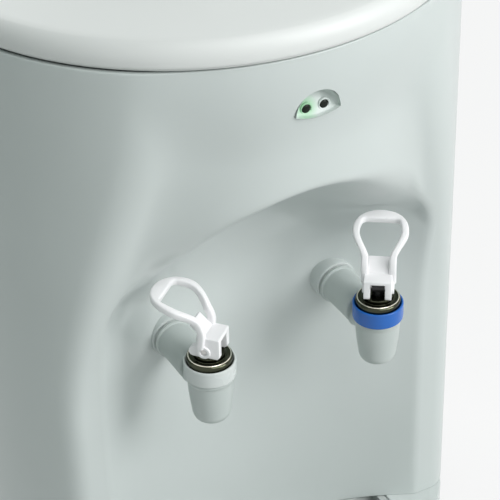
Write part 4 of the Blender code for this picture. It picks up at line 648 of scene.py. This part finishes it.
def build_front_panel():
    """The moulded front, with its rounded top edge and its true wall."""
    low, high = BASE_TOP + SEAM, RIM_Z - SEAM - PANEL_GAP
    edge = math.radians(90.0) - SEAM / BODY_RADIUS
    bm = bmesh.new()
    lines = []
    for column in range(PANEL_COLUMNS + 1):
        x = BODY_RADIUS * math.sin(-edge + 2 * edge * column / PANEL_COLUMNS)
        line = [bm.verts.new((x, panel_y(x, z), z)) for z in panel_rows(x, low, high - PANEL_ROUND)]
        top = line[-1].co.copy()
        inward = Vector((-top.x, -top.y, 0)).normalized()
        for step in range(1, PANEL_ROUND_STEPS + 1):
            angle = TAU / 4 * step / PANEL_ROUND_STEPS
            rise = Vector((0, 0, PANEL_ROUND * math.sin(angle)))
            line.append(bm.verts.new(top + inward * PANEL_ROUND * (1 - math.cos(angle)) + rise))
        line.append(bm.verts.new(line[-1].co + inward * (WALL - PANEL_ROUND)))
        lines.append(line)
    for left, right in zip(lines, lines[1:]):
        for row in range(len(left) - 1):
            bm.faces.new((left[row], right[row], right[row + 1], left[row + 1]))
    skin = make("front_panel_skin", bm, "shell", "housing", "front_panel", angle=50.0, closed=False)
    wall = skin.modifiers.new("wall", "SOLIDIFY")
    wall.thickness = WALL
    wall.offset = -1.0
    settle(skin)
    window = prism(indicator_outline(SEAM), -WINDOW_CUT, WINDOW_CUT)
    cut_from(skin, facing_front(window, (0, INDICATOR_FACE_Y, INDICATOR_Z)))
    skin.data.set_sharp_from_angle(angle=math.radians(50.0))


def build_boss(name, side):
    """Round seat in the panel, where a faucet's neck bears."""
    profile = [
        (TAIL_RADIUS, 0), (BOSS_RADIUS - 0.5 * MM, 0), (BOSS_RADIUS, 0.5 * MM),
        (BOSS_RADIUS + 0.1 * MM, BOSS_REACH), (TAIL_RADIUS, BOSS_REACH),
    ]
    place = (side * FAUCET_X, BOSS_FACE_Y, COLLAR_TOP - NECK_DEPTH)
    bm = along_y(turned(eased(profile, 0.8 * MM), BOSS_STEPS), place)
    make(name + "_panel_boss", bm, "shell", "housing", "front_panel")


# ---------------------------------------------------------------- indicator
def indicator_outline(margin):
    """Half-moon window, arched at its top, with a slightly bowed foot."""
    half = INDICATOR_HALF + margin
    foot = WINDOW_FOOT - max(margin, 0.0)
    points = arc((0, WINDOW_FOOT), half, 0, 180, INDICATOR_STEPS)
    sag = WINDOW_SAG * half / INDICATOR_HALF
    count = INDICATOR_STEPS // 2
    for step in range(1, count):
        share = step / count
        points.append((-half + 2 * half * share, foot - sag * 4 * share * (1 - share)))
    return points


def dish_floor(z):
    """Depth of the window's floor, which runs out into the panel at its foot."""
    return DISH_SHALLOW + DISH_DEPTH * min(max((z - DISH_FOOT) / DISH_RISE, 0.0), 1.0)


def build_indicator():
    """Half-moon dish that deepens towards its arch, with two lamps in rings."""
    place = Vector((0, INDICATOR_FACE_Y, INDICATOR_Z))
    bm = bmesh.new()
    rings = []
    for margin, front, deep in DISH_RINGS:
        ring = []
        for x, z in indicator_outline(margin):
            ring.append(bm.verts.new(place + Vector((x, front + deep * dish_floor(z), z))))
        rings.append(ring)
    bridge(bm, rings)
    bm.faces.new(rings[-1])
    bmesh.ops.triangulate(bm, faces=bm.faces[-1:])
    make("indicator_dish", bm, "bezel", "housing", "indicator_bezel", angle=40.0)
    outside = LED_RADIUS + 0.8 * MM
    cup = [
        (LED_RADIUS, -0.6 * MM), (outside, -0.6 * MM), (outside, 0.3 * MM), (LED_RADIUS + 0.4 * MM, 0.6 * MM),
        (LED_RADIUS, 0.4 * MM),
    ]
    rise = LENS_RISE * LED_RADIUS
    dome = [(0, -0.8 * MM), (LED_RADIUS, -0.8 * MM)]
    dome += [(LED_RADIUS * math.cos(angle), rise * math.sin(angle)) for angle in (0.0, 0.35, 0.7, 1.05, 1.3)]
    dome += [(0, rise)]
    # the left lamp's ring takes the painted green glow; the right lamp's ring is the plain recess colour
    for name, side, glow in (("cool", -1, "painted_glow_ring"), ("cold", 1, "bezel")):
        spot = place + Vector((side * LED_PITCH / 2, dish_floor(LAMP_Z), LAMP_Z))
        ring = facing_front(turned(eased(cup, 0.2 * MM), LAMP_STEPS), spot)
        make("lamp_ring_" + name, ring, glow, "housing", "led_" + name)
        lens = facing_front(turned(dome, LAMP_STEPS), spot)
        make("lamp_lens_" + name, lens, "dark_lens", "housing", "led_" + name)


# ---------------------------------------------------------------- cover and bottle seat
def build_top_cover():
    """Thin cover: a reveal over the joint line, a round edge and a slope up to the bore."""
    low = RIM_Z
    outer = [(BODY_RADIUS - REVEAL, low + 0.05 * MM), (BODY_RADIUS - REVEAL, low + REVEAL)]
    outer += arc((BODY_RADIUS - 0.5 * MM, low + REVEAL + 0.5 * MM), 0.5 * MM, -90, 0, 4)
    outer += arc((BODY_RADIUS - COVER_EDGE, low + 4 * MM), COVER_EDGE, 0, 60, 14)
    slope = [(radius, low + share * COVER_RISE) for radius, share in COVER_SLOPE]
    bore = [(COVER_BORE + 6 * MM, low + COVER_RISE - MM), (COVER_BORE, low + COVER_RISE)]
    outer += flowing([outer[-1], *slope, *bore], 8)[1:]
    inner = [(COVER_BORE, low + COVER_RISE - WALL)]
    inner += [(radius, height - WALL) for radius, height in reversed(slope)]
    inner += [
        (BODY_RADIUS - COVER_EDGE - 2 * MM, low + 11 * MM), (BODY_RADIUS - 2 * WALL, low + 4 * MM),
        (BODY_RADIUS - 2 * WALL, low + 0.05 * MM),
    ]
    make("top_cover_skin", turned(outer + inner, COVER_STEPS), "cover", "housing", "top_cover")


def build_bottle_seat():
    """Ring that carries the bottle's shoulder, with the funnel below it."""
    low = RIM_Z + COVER_RISE + SEAM
    outside = FUNNEL_RADIUS + 2.4 * MM
    throat = FUNNEL_BOTTOM + FUNNEL_LENGTH
    bore = COVER_BORE - 2 * SEAM
    profile = [
        (SEAT_RING_RADIUS, low), (SEAT_RING_RADIUS - MM, SEAT_TOP - 4 * MM),
        (SEAT_RING_RADIUS - 4 * MM, SEAT_TOP), (SEAT_MOUTH + 2 * MM, SEAT_TOP),
        (SEAT_MOUTH, SEAT_TOP - 2 * MM), (SEAT_MOUTH - 2 * MM, SEAT_TOP - 12 * MM),
        (FUNNEL_RADIUS + 11 * MM, throat + 12 * MM), (FUNNEL_RADIUS, throat), (FUNNEL_RADIUS, FUNNEL_BOTTOM),
        (outside, FUNNEL_BOTTOM), (outside, throat - 2 * MM), (FUNNEL_RADIUS + 12 * MM, throat + 8 * MM),
        (SEAT_MOUTH, SEAT_TOP - 16 * MM), (SEAT_MOUTH, low - 7 * MM), (bore, low - 7 * MM), (bore, low),
    ]
    seat = turned(eased(profile, 1.6 * MM, 4), SEAT_STEPS)
    make("bottle_seat", seat, "cover", "housing", "bottle_collar")


# ---------------------------------------------------------------- faucets
def build_faucet_body(name, place):
    """Cup under the collar, with the neck that runs back through the panel."""
    shoulder = COLLAR_HEIGHT + SEAM
    cup = [
        (CUP_SPIGOT, -CUP_BORE_TOP), (CUP_SPIGOT, -shoulder), (CUP_SHOULDER, -shoulder),
        (CUP_SHOULDER, -shoulder - 1.4 * MM),
    ]
    cup += flowing([
        (12.1 * MM, -shoulder - 2.6 * MM), (11.4 * MM, -0.6 * CUP_DEPTH), (10.4 * MM, -CUP_DEPTH + 6.5 * MM),
        (9.9 * MM, -CUP_DEPTH + 3 * MM), (9.0 * MM, -CUP_DEPTH + 0.8 * MM), (8.2 * MM, -CUP_DEPTH),
    ], 4)
    cup += [
        (MOUTH_RADIUS, -CUP_DEPTH), (MOUTH_RADIUS, -26 * MM), (VALVE_SEAT, -24 * MM), (VALVE_SEAT, -22 * MM),
        (CUP_BORE, -22 * MM), (CUP_BORE, -CUP_BORE_TOP),
    ]
    cup_mesh = moved(turned(eased(cup, 0.35 * MM), FAUCET_STEPS), place)
    flange_y = BOSS_FACE_Y - FAUCET_Y - 1.6 * MM
    step_y = flange_y - FLANGE_THICKNESS
    tail_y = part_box(name + "_faucet_body")[1].y - FAUCET_Y
    neck = [
        (PIPE_BORE, NECK_FRONT), (NECK_RADIUS - 1.2 * MM, NECK_FRONT),
        (NECK_RADIUS - 0.35 * MM, NECK_FRONT + 0.35 * MM), (NECK_RADIUS, NECK_FRONT + 1.2 * MM),
        (NECK_RADIUS, step_y - 0.5 * MM), (NECK_RADIUS + 0.4 * MM, step_y), (FLANGE_RADIUS, step_y),
        (FLANGE_RADIUS, flange_y), (TAIL_RADIUS, flange_y), (TAIL_RADIUS, tail_y), (PIPE_BORE, tail_y),
    ]
    pipe = along_y(turned(eased(neck, 0.35 * MM), NECK_STEPS), place + Vector((0, 0, -NECK_DEPTH)))
    waist = [
        (PIPE_BORE, THROAT_FRONT), (THROAT_RADIUS, THROAT_FRONT), (THROAT_RADIUS, NECK_FRONT - MM),
        (THROAT_RADIUS + MM, NECK_FRONT + MM), (PIPE_BORE, NECK_FRONT + MM),
    ]
    throat = along_y(turned(eased(waist, 0.5 * MM), THROAT_STEPS), place + Vector((0, 0, -THROAT_DEPTH)))
    make(name + "_faucet_shell", joined(cup_mesh, pipe, throat), "faucet", "housing", name + "_faucet_body")


def build_faucet_trim(name, place, look):
    """Collar, plated bonnet with its painted dark reflection and a thin bright ring that paints the highlight
    on its edge, and the disc that turns with the lever.
    """
    inside = BONNET_RADIUS + 0.25 * MM
    collar = [(inside, 0), (COLLAR_RADIUS, 0), (COLLAR_RADIUS, -COLLAR_HEIGHT), (inside, -COLLAR_HEIGHT)]
    ring = moved(turned(eased(collar, 1.0 * MM, 5), FAUCET_STEPS), place)
    make(name + "_collar_ring", ring, look, "housing", name + "_collar")
    bore, shelf = BONNET_RADIUS - 1.1 * MM, BONNET_RISE - 0.25 * MM
    bonnet = [
        (BONNET_RADIUS, -BONNET_SKIRT), (BONNET_RADIUS, BONNET_RISE - 1.3 * MM),
        (BONNET_RADIUS - 0.9 * MM, BONNET_RISE - 0.5 * MM), (BONNET_RADIUS - 1.2 * MM, shelf),
        (DISC_RADIUS + 0.8 * MM, shelf), (DISC_RADIUS + 0.5 * MM, BONNET_RISE), (STEM_HOLE, BONNET_RISE),
        (STEM_HOLE, BONNET_RISE - 1.1 * MM), (bore, BONNET_RISE - 1.7 * MM), (bore, -BONNET_SKIRT),
    ]
    shell = moved(turned(eased(bonnet, 0.3 * MM), FAUCET_STEPS), place)
    # the bonnet's dark plating colour is a painted dark reflection
    make(name + "_bonnet_shell", shell, "chrome", "housing", name + "_bonnet")
    # thin bright ring on the bonnet's rounded edge, a painted highlight
    highlight_bead = []
    for angle in [TAU * step / BEAD_SIDES for step in range(BEAD_SIDES)]:
        out, up = BEAD_RADIUS * math.cos(angle), BEAD_RADIUS * math.sin(angle)
        highlight_bead.append((BONNET_RADIUS - 1.0 * MM + out, BONNET_RISE - 0.45 * MM + up))
    wire = moved(turned(highlight_bead, FAUCET_STEPS), place)
    make(name + "_bonnet_bead", wire, "highlight_bead", "housing", name + "_bonnet")
    low = BONNET_RISE + SEAM
    top = low + DISC_THICKNESS
    disc = [(STEM_HOLE, low), (DISC_RADIUS, low), (DISC_RADIUS, top), (STEM_HOLE, top)]
    plate = moved(turned(eased(disc, 0.4 * MM), DISC_STEPS), place)
    # the disc's dark plating colour is a painted dark reflection too
    make(name + "_disc", plate, "chrome", name + "_turntable", name + "_turning_disc")


def build_spring(name, place):
    """Closing coil, wound at its rest length; in the real faucet it shortens as the plunger rises."""
    low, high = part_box(name + "_spring")
    length = high.z - low.z
    wire = (high.x - low.x) / 2 - SPRING_RADIUS
    bm = bmesh.new()
    rings = []
    for step in range(SPRING_TURNS * SPRING_STEPS + 1):
        share = step / (SPRING_TURNS * SPRING_STEPS)
        angle = TAU * SPRING_TURNS * share
        rise = smooth_step(share, SPRING_ENDS, 1 - SPRING_ENDS) * SPRING_PITCHED
        rise += share * (1 - SPRING_PITCHED)
        out = Vector((math.cos(angle), math.sin(angle), 0))
        centre = Vector((place.x, place.y, low.z + wire + (length - 2 * wire) * rise)) + out * SPRING_RADIUS
        ring = []
        for side in [TAU * number / WIRE_SIDES for number in range(WIRE_SIDES)]:
            around = out * math.cos(side) + Vector((0, 0, math.sin(side)))
            ring.append(bm.verts.new(centre + around * wire))
        rings.append(ring)
    bridge(bm, rings)
    bm.faces.new(rings[0])
    bm.faces.new(rings[-1])
    coil = make(name + "_spring_coil", bm, "steel", "housing", name + "_spring", angle=60.0)
    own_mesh(coil)


def cam_foot():
    """Underside of the lever: the cam that keeps touching the disc."""
    points = []
    for step in range(CAM_STEPS + 1):
        press = PRESS_RANGE * step / CAM_STEPS
        height = EAR_FOOT + CAM_RATE * press
        back = height * math.sin(press) + CAM_RATE * math.cos(press)
        points.append((back, -height * math.cos(press) + CAM_RATE * math.sin(press)))
    return points


def loop_slope(share):
    """Lean of the loop's middle line, through its three given slopes."""
    root, middle, end = LOOP_SLOPES
    share = max(share, 0.0)
    early = root * (1 - share) * (1 - 2 * share)
    late = end * share * (2 * share - 1)
    return math.radians(early + 4 * middle * share * (1 - share) + late)


def loop_place(across, along, height=0.0):
    """Point of the bent loop: across it, along its middle line, and above that line."""
    length = along / BEND_STEPS
    y, z = LOOP_BACK, HEAD_TOP
    for step in range(BEND_STEPS):
        slope = loop_slope((step + 0.5) * length / LOOP_LENGTH)
        y += length * math.cos(slope)
        z += length * math.sin(slope)
    slope = loop_slope(along / LOOP_LENGTH)
    return Vector((across, y - height * math.sin(slope), z + height * math.cos(slope)))


def loop_half_width(along):
    """Half of the loop's outside width: narrow root, flared arms and a round crown."""
    root, wide = LOOP_ROOT_WIDTH / 2, LOOP_WIDTH / 2
    if along > LOOP_WIDEST:
        share = (along - LOOP_WIDEST) / (LOOP_LENGTH - LOOP_WIDEST)
        return wide * math.sqrt(max(1 - share**LOOP_ROUNDNESS, 0.0))
    share = min(max((along - LOOP_FLARE) / (LOOP_WIDEST - LOOP_FLARE), 0.0), 1.0)
    return root + (wide - root) * (smooth_step(share, 0, 1) + math.sin(share * TAU / 4)) / 2


def loop_edges():
    """Outer and inner edge of one side, in pairs, from its root to the middle of the bar."""
    far = LOOP_LENGTH - LOOP_BAR
    bend = far - LOOP_CORNER
    pairs = []
    for step in range(ARM_STATIONS + 1):
        along = -LOOP_ROOT + (bend + LOOP_ROOT) * step / ARM_STATIONS
        half = loop_half_width(along)
        pairs.append(((half, along), (half - LOOP_ARM, along)))
    corner_x = pairs[-1][1][0] - LOOP_CORNER
    inner = arc((corner_x, bend), LOOP_CORNER, 0, 90, CORNER_STATIONS)[1:]
    inner += [(corner_x * (1 - step / BAR_STATIONS), far) for step in range(1, BAR_STATIONS + 1)]
    crown = LOOP_LENGTH - LOOP_WIDEST
    first = math.asin(((bend - LOOP_WIDEST) / crown) ** (LOOP_ROUNDNESS / 2))
    for number, point in enumerate(inner, 1):
        angle = first + (TAU / 4 - first) * number / len(inner)
        along = LOOP_WIDEST + crown * math.sin(angle) ** (2 / LOOP_ROUNDNESS)
        pairs.append(((LOOP_WIDTH / 2 * math.cos(angle), along), point))
    return pairs


def strip_section(outer, inner):
    """Rounded section between the two edges: shares across, with heights."""
    width = (Vector(outer) - Vector(inner)).length
    edge = LOOP_EDGE / width
    half = LOOP_THICKNESS / 2
    section = []
    for centre, start in (((edge, half - LOOP_EDGE), 180), ((1 - edge, half - LOOP_EDGE), 90),
                          ((1 - edge, LOOP_EDGE - half), 0), ((edge, LOOP_EDGE - half), -90)):
        for step in range(5):
            angle = math.radians(start - 22.5 * step)
            section.append((centre[0] + edge * math.cos(angle), centre[1] + LOOP_EDGE * math.sin(angle)))
    return section


def loop_ring():
    """The finger loop, as one strip from root to root."""
    right = loop_edges()
    left = [((-outer[0], outer[1]), (-inner[0], inner[1])) for outer, inner in reversed(right[:-1])]
    bm = bmesh.new()
    rings = []
    for outer, inner in right + left:
        ring = []
        for share, height in strip_section(outer, inner):
            spot = Vector(outer).lerp(Vector(inner), share)
            ring.append(bm.verts.new(loop_place(spot.x, spot.y, height)))
        rings.append(ring)
    bridge(bm, rings)
    bm.faces.new(rings[0])
    bm.faces.new(rings[-1])
    return bm


def build_lever(name, place, turn):
    """Head on two cam-footed ears, with a thumb plate, pin bosses and the finger loop."""
    body = node = name + "_lever"
    side = [(1.4 * MM - HEAD_REACH, -EAR_FOOT)] + cam_foot()
    side += [
        (HEAD_REACH, -EAR_FOOT / 2), (HEAD_REACH, 0), (HEAD_REACH - MM, 1.6 * MM), (EAR_BACK, 3.2 * MM),
        (EAR_BACK, HEAD_TOP), (0.5 * MM - HEAD_REACH, HEAD_TOP), (-HEAD_REACH, HEAD_TOP - 0.5 * MM),
        (-HEAD_REACH, 1.5 * MM - EAR_FOOT),
    ]
    half = LEVER_WIDTH / 2
    slot_half = half - EAR_THICKNESS
    slot_top = HEAD_TOP - HEAD_THICKNESS
    reach = 2 * HEAD_REACH
    head = make(name + "_lever_head", across_x(prism(side, -half, half)), "lever", body, node)
    across = [(-slot_half, -reach), (slot_half, -reach), (slot_half, slot_top), (-slot_half, slot_top)]
    cut_from(head, facing_front(prism(across, -reach, reach), (0, 0, 0)))
    open_back = [(-slot_half, MM), (slot_half, MM), (slot_half, reach), (-slot_half, reach)]
    cut_from(head, prism(open_back, slot_top - MM, reach))
    bm = bmesh.new()
    bm.from_mesh(head.data)
    bmesh.ops.dissolve_limit(bm, angle_limit=math.radians(0.5), verts=bm.verts[:], edges=bm.edges[:])
    ease_edges(bm, 0.45 * MM, 40.0)
    moved(bm, place, turn)
    bm.to_mesh(head.data)
    bm.free()
    head.data.shade_smooth()
    head.data.set_sharp_from_angle(angle=math.radians(40.0))

    slant = TONGUE_THICKNESS * math.sqrt(0.5)
    profile = [
        (-2 * MM, HEAD_TOP - HEAD_THICKNESS / 2), (2 * slant - HEAD_THICKNESS, slot_top + 0.1 * MM),
        (TONGUE_RISE + slant, HEAD_TOP + TONGUE_RISE - slant), (TONGUE_RISE, HEAD_TOP + TONGUE_RISE),
        (0, HEAD_TOP),
    ]
    tongue = across_x(prism(profile, -TONGUE_WIDTH / 2, TONGUE_WIDTH / 2, 0.5 * MM))
    ring = [
        (PIN_HOLE, 0), (EAR_BOSS_RADIUS, 0), (EAR_BOSS_RADIUS, EAR_BOSS_RISE + MM),
        (PIN_HOLE + 0.2 * MM, EAR_BOSS_RISE + MM), (PIN_HOLE, EAR_BOSS_RISE + 0.4 * MM),
    ]
    bosses = []
    for way in (-1, 1):
        boss = turned(eased(ring, 0.35 * MM), EAR_BOSS_STEPS)
        boss.transform(Matrix.Translation((way * (half - MM), 0, 0)) @ Matrix.Rotation(way * TAU / 4, 4, "Y"))
        bosses.append(boss)
    make(name + "_lever_thumb_plate", moved(joined(tongue, *bosses), place, turn), "lever", body, node)
    make(name + "_lever_loop", moved(loop_ring(), place, turn), "lever", body, node, angle=60.0)


build_front_panel()
for faucet, side in (("left", -1), ("right", 1)):
    build_boss(faucet, side)
build_indicator()
build_top_cover()
build_bottle_seat()
for faucet, side, swivel, collar in (
    ("left", -1, LEFT_SWIVEL, "collar_white"), ("right", 1, RIGHT_SWIVEL, "blue"),
):
    spot = Vector((side * FAUCET_X, FAUCET_Y, COLLAR_TOP))
    build_faucet_body(faucet, spot)
    build_faucet_trim(faucet, spot, collar)
    build_spring(faucet, spot)
    build_lever(faucet, spot + Vector((0, 0, PIN_HEIGHT)), swivel)
for node, look, body, edge in (
    ("base_pan", "shell", "housing", 1.0 * MM), ("drip_tray", "tray", "drip_tray", 0.5 * MM),
    ("drip_grille", "tray", "drip_grille", 0.5 * MM), ("rear_vent_cover", "shell", "housing", 0.6 * MM),
    ("service_panel", "black", "housing", 0.4 * MM), ("power_inlet", "black", "housing", 0.3 * MM),
    ("switch_frame", "black", "housing", 0.3 * MM), ("switch_rocker", "black", "switch_rocker", 0.3 * MM),
    ("drain_cap", "faucet", "drain_cap", 0.5 * MM),
):
    softened(node, look, body, edge)


# ---------------------------------------------------------------- camera, floor and light
def build_camera():
    """The photograph's view."""
    data = bpy.data.cameras.new("camera")
    data.sensor_width = 36.0
    data.lens = CAMERA_LENS
    data.clip_end = 20.0
    camera = bpy.data.objects.new("camera", data)
    bpy.context.scene.collection.objects.link(camera)
    place = Matrix(CAMERA_AXES).transposed().to_4x4()
    place.translation = CAMERA_PLACE
    camera.matrix_world = place
    bpy.context.scene.camera = camera


def seen_ray(tree):
    """1 where the camera, a reflection or glass looks at the background, else 0."""
    path = tree.nodes.new("ShaderNodeLightPath")
    seen = path.outputs["Is Camera Ray"]
    for kind in ("Is Glossy Ray", "Is Transmission Ray"):
        either = tree.nodes.new("ShaderNodeMath")
        either.operation = "MAXIMUM"
        tree.links.new(seen, either.inputs[0])
        tree.links.new(path.outputs[kind], either.inputs[1])
        seen = either.outputs["Value"]
    return seen


def build_floor():
    """Plain pale floor, nearly white to the camera, that keeps the object's shadow."""
    bm = bmesh.new()
    corners = ((-1, -1), (1, -1), (1, 1), (-1, 1))
    bm.faces.new([bm.verts.new((x * FLOOR_HALF, y * FLOOR_HALF, 0.0)) for x, y in corners])
    mesh = bpy.data.meshes.new("floor")
    bm.to_mesh(mesh)
    bm.free()
    floor = bpy.data.objects.new("floor", mesh)
    bpy.context.scene.collection.objects.link(floor)
    material, tree, shader = tree_of("floor_finish")
    colour = ramp(tree, noise(tree, FLOOR_PATCHES), *MOTTLE_BAND, *FLOOR_TONES)
    tree.links.new(colour, shader.inputs["Base Color"])
    shader.inputs["Roughness"].default_value = 0.7
    shader.inputs["Specular IOR Level"].default_value = 0.1
    share = tree.nodes.new("ShaderNodeMath")
    share.operation = "MULTIPLY"
    share.inputs[1].default_value = FLOOR_WHITE
    tree.links.new(seen_ray(tree), share.inputs[0])
    white = tree.nodes.new("ShaderNodeEmission")
    mix = tree.nodes.new("ShaderNodeMixShader")
    output = tree.nodes["Material Output"]
    tree.links.new(share.outputs["Value"], mix.inputs["Fac"])
    tree.links.new(shader.outputs["BSDF"], mix.inputs[1])
    tree.links.new(white.outputs["Emission"], mix.inputs[2])
    tree.links.new(mix.outputs["Shader"], output.inputs["Surface"])
    mesh.materials.append(material)


def area_light(name, place, size, power):
    """A square lamp that faces the object."""
    data = bpy.data.lights.new(name, "AREA")
    data.shape = "RECTANGLE"
    data.size, data.size_y = size, size
    data.energy = power
    lamp = bpy.data.objects.new(name, data)
    bpy.context.scene.collection.objects.link(lamp)
    lamp.location = place
    aim = Vector(LAMP_TARGET) - Vector(place)
    lamp.rotation_mode = "QUATERNION"
    lamp.rotation_quaternion = aim.to_track_quat("-Z", "Y")


def build_light():
    """Faint tinted light from all round, a white background, and the lamps."""
    world = bpy.data.worlds.new("world")
    world.use_nodes = True
    bpy.context.scene.world = world
    tree = world.node_tree
    background = tree.nodes["Background"]
    seen = seen_ray(tree)
    mix = tree.nodes.new("ShaderNodeMix")
    mix.data_type = "FLOAT"
    mix.inputs["A"].default_value = WORLD_STRENGTH
    mix.inputs["B"].default_value = 1.0
    tree.links.new(seen, mix.inputs["Factor"])
    tree.links.new(mix.outputs["Result"], background.inputs["Strength"])
    tint = tree.nodes.new("ShaderNodeMix")
    tint.data_type = "RGBA"
    tint.inputs["A"].default_value = WORLD_TINT
    tint.inputs["B"].default_value = WHITE
    tree.links.new(seen, tint.inputs["Factor"])
    tree.links.new(tint.outputs["Result"], background.inputs["Color"])
    for lamp in LAMPS:
        area_light(*lamp)


build_camera()
build_floor()
build_light()

bpy.context.scene.view_settings.view_transform = "Standard"
